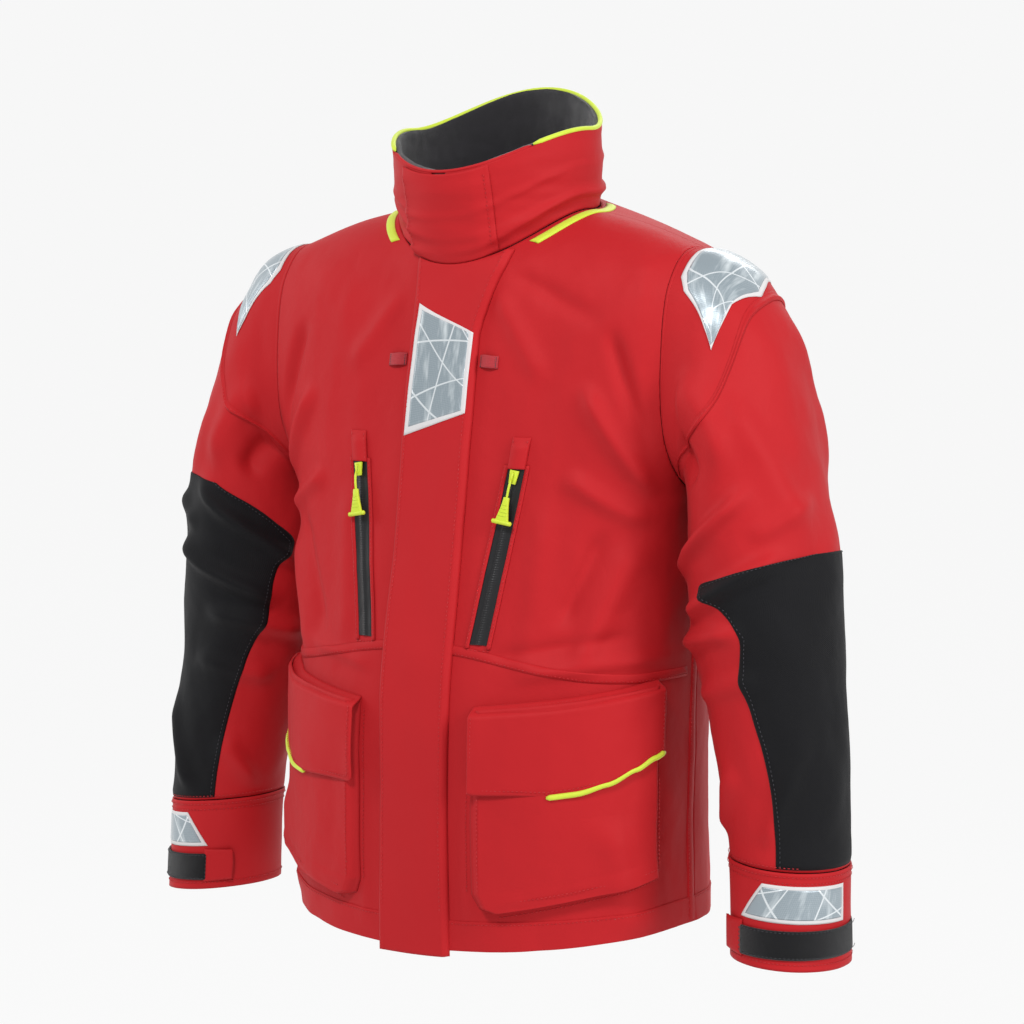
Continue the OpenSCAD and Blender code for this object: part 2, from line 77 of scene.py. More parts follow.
# side height, front rise, back rise, half width, forward reach, backward reach, squareness
BODY_RINGS = [
    [-BACK_LENGTH, -20, -HEM_DIP, 224, 160, 195, 2.15],
    [-0.84 * BACK_LENGTH, 0, 0, 222, 163, 188, 2.2],
    [-0.68 * BACK_LENGTH, 0, 0, 222, front_reach(510), 172, 2.3],
    [-410, 0, 0, 226, front_reach(410), 158, 2.4],
    [-300, 0, 0, 235, front_reach(300), 150, 2.6],
    [-230, 0, 0, 262, front_reach(230), 150, 2.7],
    [-160, 0, 0, 285, front_reach(160), 143, 2.5],
    [-100, -25, 10, 289, front_reach(125), 132, 2.2],
    [-70, -35, 15, 255, front_reach(105), 122, 2.1],
    [-55, -40, 20, 220, front_reach(95), 114, 2.1],
    [-36, -50, 19, 165, front_reach(86), 103, 2.1],
    [-23, -55, 23, 108, 90, 91, 2],
]
COLLAR_RINGS = [
    [-23, -55, 23, 108, 90, 91, 2],
    [1, -50, 27, 110, 99, 93, 2],
    [29, -47, 35, 111, 107, 94, 2],
    [57, -44, 43, 110, 115, 92, 2],
]
CUFF_SEAM = -ARMHOLE_DROP - SLEEVE_LENGTH
CUFF_END = CUFF_SEAM - CUFF_LENGTH
# position, inner x and z, outer x and z, middle y, half depth
SLEEVE_RINGS = [
    [-11, 298, CUFF_END + 4, 411, CUFF_END - 6, -13, 67],
    [-10, 293, CUFF_SEAM + 2, 409, CUFF_SEAM - 8, -10, 66],
    [-9, 282, -600, 407, -609, -6, 69],
    [-8, 264, -532, 402, -537, -2, 75],
    [-7, 245, -462, 396, -458, 0, 81],
    [-6, 239, -406, 389, -392, 1, 86],
    [-5, 241, -356, 377, -326, 2, 88],
    [-4, 243, -330, 361, -258, 4, 90],
    [-3, 243, -316, 341, -186, 6, 91],
    [-2, 241, -307, 320, -126, 8, 91],
    [-1, 238, -302, 286, -84, 10, 90],
    [0, 235, -301, 235, -65, ARMHOLE_Y, 88],
]


def blend_rows(table, s):
    """Smooth curve through a table of rows whose first entry is the position."""
    i = 0
    while i < len(table) - 2 and s >= table[i + 1][0]:
        i += 1

    def slope(k):
        a, b = table[max(0, k - 1)], table[min(len(table) - 1, k + 1)]
        return [(q - p) / (b[0] - a[0]) for p, q in zip(a, b)]

    low, high = table[i], table[i + 1]
    w = high[0] - low[0]
    q = (s - low[0]) / w
    h00, h10 = 2 * q ** 3 - 3 * q * q + 1, (q ** 3 - 2 * q * q + q) * w
    h01, h11 = 3 * q * q - 2 * q ** 3, (q ** 3 - q * q) * w
    columns = zip(low, slope(i), high, slope(i + 1))
    return [h00 * a + h10 * m + h01 * b + h11 * n for a, m, b, n in columns]


def signed_power(value, power):
    return math.copysign(abs(value) ** power, value)


def on_ring(ring, angle):
    c, s = math.cos(math.radians(angle)), math.sin(math.radians(angle))
    reach, rise = (ring[4], ring[1]) if s < 0 else (ring[5], ring[2])
    x = ring[3] * signed_power(c, 2 / ring[6])
    y = reach * signed_power(s, 2 / ring[6])
    return Vector((x, y, ring[0] + rise * s * s))


@functools.lru_cache(maxsize=None)
def body_ring(v):
    return blend_rows(BODY_RINGS, v)


@functools.lru_cache(maxsize=None)
def collar_ring(v):
    return blend_rows(COLLAR_RINGS, v)


@functools.lru_cache(maxsize=None)
def sleeve_ring(v):
    return blend_rows(SLEEVE_RINGS, v)


def body_base(u, v):
    return on_ring(body_ring(v), u)


def collar_base(u, v):
    return on_ring(collar_ring(v), u)


def front_angle(x, z):
    """Angle on the front of the body at a distance across from the middle."""
    ring = body_ring(z)
    angle = -math.degrees(math.acos(min(1, (abs(x) / ring[3]) ** (ring[6] / 2))))
    return angle if x >= 0 else -180 - angle


def armhole_outline():
    """Radius of the body's section at the armhole, by angle from the top towards the back."""
    spots = []
    for i in range(200):
        v = -303 + i * 1.4
        ring = body_ring(v)
        if v > -24 or ring[3] < SLEEVE_X:
            continue
        a = math.degrees(math.acos((SLEEVE_X / ring[3]) ** (ring[6] / 2)))
        for angle in (a, -a):
            p = on_ring(ring, angle)
            y, z = p.y - ARMHOLE_Y, p.z + ARMHOLE_DROP
            spots.append((math.degrees(math.atan2(y, z)), math.hypot(y, z)))
    spots.sort()
    return spots


ARMHOLE = armhole_outline()


def armhole_radius(u):
    u = (u + 180) % 360 - 180
    first, last = ARMHOLE[0], ARMHOLE[-1]
    spots = [(last[0] - 360, last[1])] + ARMHOLE + [(first[0] + 360, first[1])]
    for (a, ra), (b, rb) in zip(spots, spots[1:]):
        if a <= u <= b and b > a:
            return ra + (rb - ra) * (u - a) / (b - a)
    return spots[0][1]


ARMHOLE_BY_DEGREE = [armhole_radius(k - 180) for k in range(361)]


def smooth(value):
    value = max(0.0, min(1.0, value))
    return value * value * (3 - 2 * value)


def sleeve_base(u, v):
    """Point on a sleeve, whose section becomes the armhole's own outline near the body."""
    r = sleeve_ring(v)
    c, s = math.cos(math.radians(u)), math.sin(math.radians(u))
    out = Vector((r[3] - r[1], 0, r[4] - r[2])) / 2
    spoke = out * c + Vector((0, r[6] * s, 0))
    w = smooth(1 + v / 1.8)
    if w > 0:
        k = min(359.999, max(0, math.degrees(math.atan2(r[6] * s, out.length * c)) + 180))
        i = int(k)
        radius = ARMHOLE_BY_DEGREE[i] + (ARMHOLE_BY_DEGREE[i + 1] - ARMHOLE_BY_DEGREE[i]) * (k - i)
        spoke *= 1 + w * (radius / spoke.length - 1)
    return Vector((r[1], r[5], r[2])) + out + spoke


# ---------------------------------------------------------------- folds in the cloth
def crease(a, b, p, width):
    """1 on the line from a to b, fading across it over the width and out past its ends."""
    ax, ay, bx, by = *a, *b
    dx, dy = bx - ax, by - ay
    length = math.hypot(dx, dy)
    t = ((p[0] - ax) * dx + (p[1] - ay) * dy) / (length * length)
    across = ((p[0] - ax) * dy - (p[1] - ay) * dx) / length
    if abs(across) > 3 * width or not -0.2 < t < 1.2:
        return 0.0
    ends = smooth(t * 3 + 0.5) * smooth((1 - t) * 3 + 0.5)
    return math.exp(-(across / width) ** 2) * ends


# Folds on the body: start x and z, end x and z, width, height; the front is seen from -Y
FRONT_FOLDS = [
    (222, -300, 165, -205, 9, 5.0), (212, -330, 150, -290, 10, 4.0), (226, -255, 188, -150, 8, -4.5),
    (205, -360, 168, -470, 12, 4.5), (182, -350, 150, -430, 9, -3.5), (128, -330, 118, -480, 14, 2.5),
    (60, -110, 115, -190, 11, 2.5), (80, -90, 165, -130, 10, -2.2), (215, -470, 120, -486, 8, 3.0),
    (200, -448, 90, -468, 7, -2.5), (190, -640, 205, -748, 12, 4.0), (60, -735, 66, -610, 10, 2.0),
    (-222, -300, -172, -215, 9, 4.5), (-210, -335, -150, -300, 9, 4.0), (-226, -250, -190, -150, 8, -4.0),
    (-205, -370, -160, -480, 12, 4.0), (-180, -350, -140, -455, 9, -3.0), (-110, -320, -102, -470, 13, 2.4),
    (-60, -110, -112, -180, 11, 2.3), (-200, -640, -208, -748, 12, 3.6), (-150, -470, -60, -486, 7, 2.4),
    (-70, -560, -62, -740, 10, 1.8),
]
BACK_FOLDS = [
    (150, -150, 60, -260, 16, 5.0), (-150, -150, -60, -260, 16, 5.0), (190, -310, 110, -390, 14, 5.0),
    (-190, -310, -120, -400, 14, 5.0), (60, -420, 90, -640, 20, 5.0), (-80, -430, -60, -650, 20, 5.0),
    (150, -470, 165, -700, 16, 4.0), (-155, -460, -160, -700, 16, 4.0), (100, -470, -90, -480, 12, 3.5),
    (0, -500, 10, -740, 18, -3.5), (110, -70, 40, -110, 14, 3.0), (-110, -70, -40, -110, 14, 3.0),
]


def body_relief(p):
    folds = FRONT_FOLDS if p.y < 0 else BACK_FOLDS
    height = sum(1.8 * h * crease((a, b), (c, d), (p.x, p.z), w) for a, b, c, d, w, h in folds)
    height += 4.0 * noise.noise(Vector((p.x * 0.011, p.y * 0.011, p.z * 0.005)))
    height += 1.8 * noise.noise(Vector((p.x * 0.03 + 7, p.y * 0.03, p.z * 0.014)))
    height += 0.35 * noise.noise(Vector((p.x * 0.08, p.y * 0.08, p.z * 0.06 + 3)))
    if p.y < 0:
        height *= smooth((abs(p.x) - 20) / 60)
    height *= smooth((-45 - p.z) / 40)
    # the cloth lies flat where the sleeve is sewn on
    if p.z > ARMHOLE_FOOT:
        to_arm = SLEEVE_X - abs(p.x)
        height *= 1 - smooth((p.z - ARMHOLE_FOOT) / 12) * (1 - smooth((to_arm - 2) / 26))
    return height


# Folds on a sleeve, by angle round it and position along it
SLEEVE_FOLDS = [
    (-150, -5.6, -70, -4.4, 0.16, 7), (-130, -6.3, -50, -5.5, 0.15, 7), (-160, -6.9, -85, -6.6, 0.15, 6),
    (-140, -7.6, -75, -7.3, 0.14, 4), (-60, -3.0, -20, -5.2, 0.22, 4), (-95, -1.0, -75, -3.6, 0.2, 6),
    (-125, -1.4, -110, -3.4, 0.18, -6), (-40, -8.0, -80, -9.6, 0.16, 4), (-110, -8.6, -150, -9.6, 0.16, 4),
    (20, -2.2, 60, -4.2, 0.25, 4), (80, -5.4, 150, -4.8, 0.18, 6), (70, -6.6, 140, -6.2, 0.17, 6),
    (95, -1.4, 120, -3.6, 0.2, 5), (60, -8.6, 110, -9.5, 0.2, 4), (-60, -5.1, -10, -4.7, 0.15, 3),
]


def sleeve_relief(p, u, v, seed):
    u = (u + 180) % 360 - 180
    height = 0
    for a, b, c, d, w, h in SLEEVE_FOLDS:
        height += 1.7 * h * crease((a / 55, b), (c / 55, d), (u / 55 + seed * 0.05, v + seed * 0.11), w)
    height += 4.4 * noise.noise(Vector((p.x * 0.013 + seed, p.y * 0.013, p.z * 0.009)))
    height += 2.0 * noise.noise(Vector((p.x * 0.03, p.y * 0.03 + seed, p.z * 0.022)))
    height += 0.35 * noise.noise(Vector((p.x * 0.08, p.y * 0.08, p.z * 0.06 + seed)))
    if v > -1.6:
        height *= smooth((p.x - SLEEVE_X) / 26)
    elif v > -10:
        height *= smooth((v + 10.0) / 0.5)
    else:
        height *= 0.3
    inner = smooth((250 - p.x) / 12)
    return height * (1 - inner) + min(height, 0) * inner


def collar_relief(p, u, v):
    height = 2.0 * noise.noise(Vector((p.x * 0.02, p.y * 0.02, p.z * 0.03 + 11)))
    height += 0.9 * noise.noise(Vector((p.x * 0.012 + 5, p.y * 0.012, p.z * 0.1)))
    if p.y < 60:
        for z0, tilt, size in ((-14, 0.25, 4.2), (-2, -0.12, 3.2), (17, 0.18, 2.0)):
            across = (v - z0 - tilt * p.x * 0.3) / 4.0
            height += size * math.exp(-across ** 2) * (0.6 + 0.4 * math.sin(p.x * 0.05 + z0))
    return height * smooth((57 - v) / 14) * smooth((v + 23) / 8)


def lifted(base, relief, step):
    """Surface function that gives the point at a height above the folded cloth."""
    def at(u, v, height=0.0):
        p = base(u, v)
        across = base(u + 0.4, v) - base(u - 0.4, v)
        up = base(u, v + step) - base(u, v - step)
        return p + across.cross(up).normalized() * (height + relief(p, u, v))
    return at


body_at = lifted(body_base, lambda p, u, v: body_relief(p), 0.5)
collar_at = lifted(collar_base, collar_relief, 0.5)


def sleeve_for(side):
    seed = 0 if side > 0 else 3.0
    surface = lifted(sleeve_base, lambda p, u, v: sleeve_relief(p, u, v, seed), 0.01)

    def at(u, v, height=0.0):
        p = surface(u, v, height)
        return Vector((side * p.x, p.y, p.z))
    return at


def front_at(side):
    """Point on the front by distance from the middle towards one side, and height."""
    def at(x, z, height=0.0):
        return body_at(front_angle(side * x, z), z, height)
    return at


# ---------------------------------------------------------------- materials
def linear(code):
    parts = [int(code[i:i + 2], 16) / 255 for i in (1, 3, 5)]
    return [c / 12.92 if c <= 0.04045 else ((c + 0.055) / 1.055) ** 2.4 for c in parts] + [1]


def add(tree, kind, settings=None, **links):
    """Adds a node; settings are its own values, and links are values or sockets for its inputs."""
    node = tree.nodes.new("ShaderNode" + kind)
    for key, value in (settings or {}).items():
        setattr(node, key, value)
    for key, value in links.items():
        numbered = key[0] == "i" and key[1:].isdigit()
        socket = node.inputs[int(key[1:]) if numbered else key.replace("_", " ")]
        if isinstance(value, bpy.types.NodeSocket):
            tree.links.new(value, socket)
        else:
            socket.default_value = value
    return node


def surface_material(name, color, roughness, **values):
    """A shader with its uniform values set; returns the material, its tree and the shader."""
    material = bpy.data.materials.new(name)
    material.use_nodes = True
    material.diffuse_color = linear(color)
    tree = material.node_tree
    shader = tree.nodes["Principled BSDF"]
    shader.inputs["Base Color"].default_value = linear(color)
    shader.inputs["Roughness"].default_value = roughness
    for key, value in values.items():
        shader.inputs[key.replace("_", " ")].default_value = value
    return material, tree, shader


def thread_height(tree, pitch, twill=0.0):
    """Weave height from two crossed waves; pitch is the thread spacing in mm, UVs are in mm."""
    uv = add(tree, "UVMap").outputs[0]
    turned = add(tree, "Mapping", i0=uv, i2=(0, 0, twill)).outputs[0]
    # a wave texture of scale 1 has a period of pi / 10
    scale = math.pi / 10 / pitch
    warp = add(tree, "TexWave", {"bands_direction": "X"}, Vector=turned, Scale=scale)
    weft = add(tree, "TexWave", {"bands_direction": "Y"}, Vector=turned, Scale=scale)
    return add(tree, "Math", {"operation": "MULTIPLY"}, i0=warp.outputs[1], i1=weft.outputs[1]).outputs[0]


def cloth_color(tree, shader, color, darker, scale):
    """Slight uneven dye and handling over the whole piece, in object space."""
    where = add(tree, "TexCoord").outputs["Object"]
    cloud = add(tree, "TexNoise", Vector=where, Scale=scale, Detail=4.0, Roughness=0.6)
    mix = add(tree, "Mix", {"data_type": "RGBA"}, i0=cloud.outputs[0], i6=linear(color), i7=linear(darker))
    tree.links.new(mix.outputs[2], shader.inputs["Base Color"])
    return where


def bump(tree, shader, height, strength, distance, before=None):
    extra = {"Normal": before} if before is not None else {}
    node = add(tree, "Bump", Height=height, Strength=strength, Distance=distance, **extra)
    tree.links.new(node.outputs[0], shader.inputs["Normal"])
    return node.outputs[0]


def coated_nylon(name, color, darker, crumple=0.5):
    # Nylon plain weave with a matt water-repellent finish: the eye sees an even colour, a soft
    # broad sheen on the folds and a very fine grain. Threads are 0.4 mm; drawn at 1.1 mm to show.
    material, tree, shader = surface_material(name, color, 0.6, Sheen_Weight=0.02, Sheen_Roughness=0.45,
                                              Specular_IOR_Level=0.14)
    where = cloth_color(tree, shader, color, darker, 7)
    weave = bump(tree, shader, thread_height(tree, 1.1), 0.22, 0.0002)
    soft = add(tree, "TexNoise", Vector=where, Scale=55.0, Detail=5.0, Roughness=0.55, Distortion=0.4)
    bump(tree, shader, soft.outputs[0], crumple, 0.0011, weave)
    return material


def heavy_nylon(name, color, darker):
    # Black textured nylon of about 500 denier over the elbow: coarser grain and a drier, greyer look.
    material, tree, shader = surface_material(name, color, 0.72, Sheen_Weight=0.03, Sheen_Roughness=0.5,
                                              Specular_IOR_Level=0.2)
    where = cloth_color(tree, shader, color, darker, 12)
    weave = bump(tree, shader, thread_height(tree, 1.6, 0.6), 0.5, 0.0004)
    soft = add(tree, "TexNoise", Vector=where, Scale=60.0, Detail=4.0)
    bump(tree, shader, soft.outputs[0], 0.4, 0.0008, weave)
    return material


def brushed_fleece():
    # Polyester fleece: black, no gloss, a pale edge where the raised fibres catch the light.
    material, tree, shader = surface_material("brushed_polyester_fleece", "#1b181d", 0.95, Sheen_Weight=0.35,
                                              Sheen_Roughness=0.6, Specular_IOR_Level=0.1)
    where = cloth_color(tree, shader, "#1d1a20", "#141216", 60)
    pile = add(tree, "TexNoise", Vector=where, Scale=900.0, Detail=6.0, Roughness=0.8)
    bump(tree, shader, pile.outputs[0], 0.9, 0.0009)
    return material


def taffeta_lining():
    # Nylon taffeta lining: thin, smooth and slightly shiny along its folds.
    material, tree, shader = surface_material("black_taffeta_lining", "#18181b", 0.5, Specular_IOR_Level=0.4)
    where = cloth_color(tree, shader, "#1b1b1f", "#121214", 9)
    weave = bump(tree, shader, thread_height(tree, 1.0), 0.2, 0.0002)
    soft = add(tree, "TexNoise", Vector=where, Scale=30.0, Detail=4.0)
    bump(tree, shader, soft.outputs[0], 0.5, 0.002, weave)
    return material


def coated_tape():
    # Polyurethane film laid over the zip tape: dark, satin, with the coil printing through as ribs.
    material, tree, shader = surface_material("polyurethane_zip_film", "#161618", 0.42,
                                              Specular_IOR_Level=0.45)
    where = cloth_color(tree, shader, "#18181b", "#101012", 30)
    fine = add(tree, "TexNoise", Vector=where, Scale=400.0, Detail=3.0)
    bump(tree, shader, fine.outputs[0], 0.25, 0.0004)
    return material


def moulded_plastic(name, color, roughness):
    # Injection-moulded acetal: even colour, soft gloss and a faint spark-eroded grain.
    material, tree, shader = surface_material(name, color, roughness, IOR=1.48)
    where = add(tree, "TexCoord").outputs["Object"]
    grain = add(tree, "TexNoise", Vector=where, Scale=1200.0, Detail=2.0)
    bump(tree, shader, grain.outputs[0], 0.15, 0.0003)
    return material


def bright_binding():
    # Fluorescent polyester binding: strong yellow-green with a fine twill, and a faint painted glow so that
    # it seems lit.
    material, tree, shader = surface_material("fluorescent_binding", "#dcee3c", 0.55, Sheen_Weight=0.15)
    cloth_color(tree, shader, "#cbdf3a", "#b9cb2b", 40)
    bump(tree, shader, thread_height(tree, 1.2, 0.78), 0.4, 0.0003)
    # painted glow: a faint emission stands in for the binding's fluorescence; it shines whatever the lamps
    shader.inputs["Emission Color"].default_value = linear("#c8dc20")
    shader.inputs["Emission Strength"].default_value = 0.05
    return material


def webbing(name, color):
    # Woven polyamide tape: ribs across the width every 1.5 mm and a dull sheen.
    material, tree, shader = surface_material(name, color, 0.72, Sheen_Weight=0.1)
    cloth_color(tree, shader, color, color, 20)
    bump(tree, shader, thread_height(tree, 1.5), 0.6, 0.0005)
    return material


def loop_pile():
    # Loop side of hook-and-loop tape: a dense black pile that scatters light, with no clear weave.
    material, tree, shader = surface_material("loop_pile_tape", "#141417", 0.92, Sheen_Weight=0.25,
                                              Sheen_Roughness=0.5, Specular_IOR_Level=0.12)
    where = cloth_color(tree, shader, "#17171a", "#0e0e10", 150)
    pile = add(tree, "TexNoise", Vector=where, Scale=1300.0, Detail=4.0, Roughness=0.8)
    bump(tree, shader, pile.outputs[0], 1.0, 0.0009)
    return material


def prismatic_tape():
    # Microprism retroreflective film: silver grey cells about 2 mm wide under clear film, crossed by
    # thin white weld lines every 44 mm in three directions, with broad cloudy bands of painted sheen.
    material, tree, shader = surface_material("prismatic_reflective_film", "#a3aeb5", 0.3, Metallic=0.25,
                                              Coat_Weight=0.4, Coat_Roughness=0.15)
    uv = add(tree, "UVMap").outputs[0]
    lines = None
    for turn in (0.2, 0.2 + math.pi / 3, 0.2 + 2 * math.pi / 3):
        turned = add(tree, "Mapping", i0=uv, i2=(0, 0, turn)).outputs[0]
        wave = add(tree, "TexWave", {"bands_direction": "X"}, Vector=turned, Scale=math.pi / 10 / 44)
        line = add(tree, "Math", {"operation": "GREATER_THAN"}, i0=wave.outputs[1], i1=0.9965).outputs[0]
        if lines is not None:
            line = add(tree, "Math", {"operation": "MAXIMUM"}, i0=lines, i1=line).outputs[0]
        lines = line
    cells = add(tree, "TexVoronoi", {"feature": "F1"}, Vector=uv, Scale=0.5, Randomness=0.15)
    shade = add(tree, "Mix", {"data_type": "RGBA"}, i0=cells.outputs[0], i6=linear("#9fabb2"),
                i7=linear("#818d95"))
    # painted sheen: a stretched cloud lightens the film's colour in broad bands, standing in for its
    # reflection
    stretched = add(tree, "Mapping", i0=uv, i3=(1.0, 0.22, 1.0)).outputs[0]
    painted_sheen_cloud = add(tree, "TexNoise", Vector=stretched, Scale=0.07, Detail=3.0, Roughness=0.6)
    band = add(tree, "MapRange", i0=painted_sheen_cloud.outputs[0], i1=0.5, i2=0.72, i3=0.0, i4=0.85)
    film_with_painted_sheen = add(tree, "Mix", {"data_type": "RGBA"}, i0=band.outputs[0], i6=shade.outputs[2],
                 i7=linear("#dde5e8"))
    mixed = add(tree, "Mix", {"data_type": "RGBA"}, i0=lines, i6=film_with_painted_sheen.outputs[2], i7=linear("#d9dfe2"))
    tree.links.new(mixed.outputs[2], shader.inputs["Base Color"])
    bump(tree, shader, cells.outputs[0], 0.35, 0.0004)
    return material


def welded_edge():
    # White vinyl border of the reflective film: smooth, a little translucent, softly glossy.
    material, tree, shader = surface_material("white_vinyl_border", "#d8d6d6", 0.4, Specular_IOR_Level=0.45)
    where = cloth_color(tree, shader, "#d9d7d7", "#cbc8c9", 25)
    fine = add(tree, "TexNoise", Vector=where, Scale=300.0, Detail=3.0)
    bump(tree, shader, fine.outputs[0], 0.2, 0.0004)
    return material


def sewing_thread(name, color):
    # Bonded polyester thread: a fine, slightly glossy line of separate stitches.
    material, tree, shader = surface_material(name, color, 0.5)
    where = add(tree, "TexCoord").outputs["Object"]
    twist = add(tree, "TexNoise", Vector=where, Scale=2500.0)
    bump(tree, shader, twist.outputs[0], 0.5, 0.0002)
    return material


SHELL = coated_nylon("red_coated_nylon", "#b92025", "#ad1b21")
SHELL_STIFF = coated_nylon("red_coated_nylon_stiffened", "#b92025", "#ae1b21", 0.3)
ELBOW = heavy_nylon("black_500_denier_nylon", "#0e0e12", "#09090c")
FLEECE = brushed_fleece()
LINING = taffeta_lining()
ZIP_FILM = coated_tape()
ZIP_BLACK = moulded_plastic("black_acetal", "#1a1a1c", 0.4)
PULL_YELLOW = moulded_plastic("fluorescent_moulded_rubber", "#c6d833", 0.45)
BINDING = bright_binding()
TAPE_BLACK = webbing("black_polyamide_tape", "#17171a")
TAPE_RED = webbing("red_polyamide_tape", "#a8202a")
PILE = loop_pile()
PRISM = prismatic_tape()
BORDER = welded_edge()
THREAD_RED = sewing_thread("red_polyester_thread", "#b3131b")
THREAD_BLACK = sewing_thread("black_polyester_thread", "#303036")


# ---------------------------------------------------------------- making pieces
def mesh_from(bm, name):
    mesh = bpy.data.meshes.new(name)
    bm.to_mesh(mesh)
    bm.free()
    return mesh


def path_length(points):
    return sum((b - a).length for a, b in zip(points, points[1:]))


def finish_piece(name, mesh, material, body, replaces=()):
    mesh.materials.append(material)
    piece = bpy.data.objects.new(name, mesh)
    bpy.context.scene.collection.objects.link(piece)
    for face in mesh.polygons:
        face.use_smooth = True
    if replaces:
        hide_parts(*replaces)
    if body:
        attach(piece, body)
    return piece


def thicken(piece, wall, round_off=0.0):
    """Gives a laid surface its wall, inwards, and softens its edges."""
    solid = piece.modifiers.new("wall", "SOLIDIFY")
    solid.thickness = wall * MM
    solid.offset = -1
    if round_off:
        soft = piece.modifiers.new("soft_edge", "BEVEL")
        soft.width = round_off * MM
        soft.segments = 2
        soft.limit_method = "ANGLE"
        soft.angle_limit = math.radians(50)
    return piece


def spot_between(rows, p, q, curved=False):
    """Point of a patch at p across and q up, from its rows of paired corners."""
    count = len(rows) - 1
    if curved:
        table = [[i, *row[0], *row[1]] for i, row in enumerate(rows)]
        _, a, b, c, d = blend_rows(table, q * count)
        return [a + (c - a) * p, b + (d - b) * p]
    i = min(count - 1, int(q * count))
    t = q * count - i
    low = [a + (b - a) * p for a, b in zip(*rows[i])]
    high = [a + (b - a) * p for a, b in zip(*rows[i + 1])]
    return [a + (b - a) * t for a, b in zip(low, high)]


def laid_mesh(name, at, rows, across, up, height, roll=0.0, closed=False, cut_at=None, curved=False):
    """Grid laid over a surface. Heights may vary over the patch; roll turns its rim down."""
    bm = bmesh.new()
    uv = bm.loops.layers.uv.new("UVMap")
    bmesh.ops.create_grid(bm, x_segments=across, y_segments=up, size=0.5, calc_uvs=False)
    bm.verts.ensure_lookup_table()
    params = [(vert.co.x + 0.5, vert.co.y + 0.5) for vert in bm.verts]
    middle = [at(*spot_between(rows, k / 20, 0.5, curved)) for k in range(21)]
    wide = path_length(middle)
    spine = [at(*spot_between(rows, 0.5, k / 60, curved)) for k in range(61)]
    heights = [0]
    for a, b in zip(spine, spine[1:]):
        heights.append(heights[-1] + (b - a).length)
    tall = heights[-1]

    def risen(q):
        k = min(59, int(q * 60))
        return heights[k] + (heights[k + 1] - heights[k]) * (q * 60 - k)

    for face in bm.faces:
        for loop in face.loops:
            p, q = params[loop.vert.index]
            loop[uv].uv = (p * wide, risen(q))
    for vert in bm.verts:
        p, q = params[vert.index]
        rim = min(p * wide, (1 - p) * wide, risen(q), tall - risen(q))
        level = height(p, q) if callable(height) else height
        if roll:
            level -= roll * (1 - smooth(rim / (roll * 2.5))) * 0.9
        vert.co = at(*spot_between(rows, p, q, curved), level) * MM
    if cut_at:
        for side in (-1, 1):
            everything = list(bm.verts) + list(bm.edges) + list(bm.faces)
            bmesh.ops.bisect_plane(bm, geom=everything, dist=1e-7, plane_co=(side * cut_at * MM, 0, 0),
                                   plane_no=(side, 0, 0), clear_outer=True)
    if closed:
        bmesh.ops.remove_doubles(bm, verts=bm.verts, dist=1e-5)
    spot = spot_between(rows, 0.5, 0.5, curved)
    outward = at(*spot, 1) - at(*spot, 0)
    bm.normal_update()
    centre = at(*spot) * MM
    nearest = min(bm.faces, key=lambda f: (f.calc_center_median() - centre).length_squared)
    if nearest.normal.dot(outward) < 0:
        bmesh.ops.reverse_faces(bm, faces=bm.faces)
    return mesh_from(bm, name)


def laid(name, at, rows, across, up, height, wall, material, body, slot,
         replaces=(), roll=0.0, round_off=0.0, **more):
    """Piece of cloth laid over a surface, with its wall; height is how far its face stands off."""
    mesh = laid_mesh(name, at, rows, across, up, height, roll, **more)
    return thicken(finish_piece(name, mesh, material, body, replaces), wall, round_off)


def one_stitch():
    """Points and faces of one stitch, a small rounded bead of unit radius."""
    bead = bmesh.new()
    bmesh.ops.create_uvsphere(bead, u_segments=6, v_segments=4, radius=1)
    bead.verts.ensure_lookup_table()
    points = [vert.co.copy() for vert in bead.verts]
    faces = [[vert.index for vert in face.verts] for face in bead.faces]
    bead.free()
    return points, faces


BEAD_POINTS, BEAD_FACES = one_stitch()
THREAD_RADIUS = 0.45


def stitches(name, runs, material, body, pitch=4.2, length=2.8):
    """Rows of separate stitches; a run is a surface, two spots on it, and a height."""
    points, faces = [], []
    for at, start, end, height in runs:
        step = (end[0] - start[0], end[1] - start[1])
        line = [at(start[0] + step[0] * k / 40, start[1] + step[1] * k / 40, height) for k in range(41)]
        steps = [(b - a).length for a, b in zip(line, line[1:])]
        total = sum(steps)
        count = max(1, int(total / pitch))
        k, passed = 0, 0.0
        for i in range(count):
            goal = (i + 0.5) * total / count
            while k < 39 and goal > passed + steps[k]:
                passed += steps[k]
                k += 1
            along = (line[k + 1] - line[k]).normalized()
            place = line[k] + along * (goal - passed)
            turn = along.to_track_quat("X", "Z").to_matrix()
            first = len(points)
            for co in BEAD_POINTS:
                bead = Vector((co.x * length / 2, co.y * THREAD_RADIUS, co.z * THREAD_RADIUS))
                points.append((place + turn @ bead) * MM)
            faces += [[first + index for index in face] for face in BEAD_FACES]
    mesh = bpy.data.meshes.new(name)
    mesh.from_pydata(points, [], faces)
    return finish_piece(name, mesh, material, body)


def swept_tube(name, points, radius, material, body, replaces=(), sides=10):
    """Round edging along a line of points, with closed rounded ends."""
    bm = bmesh.new()
    rings = []
    for i, point in enumerate(points):
        along = (points[min(i + 1, len(points) - 1)] - points[max(i - 1, 0)]).normalized()
        turn = along.to_track_quat("Z", "X").to_matrix().to_4x4()
        size = radius * (0.45 if i in (0, len(points) - 1) else 1)
        circle = bmesh.ops.create_circle(bm, segments=sides, radius=size * MM, cap_ends=False,
                                         matrix=Matrix.Translation(point * MM) @ turn)["verts"]
        rings.append(circle)
    for a, b in zip(rings, rings[1:]):
        both = a + b
        edges = list({e for v in both for e in v.link_edges if e.other_vert(v) in both})
        bmesh.ops.bridge_loops(bm, edges=edges)
    bmesh.ops.holes_fill(bm, edges=[e for e in bm.edges if e.is_boundary], sides=sides)
    bmesh.ops.recalc_face_normals(bm, faces=bm.faces)
    return finish_piece(name, mesh_from(bm, name), material, body, replaces)


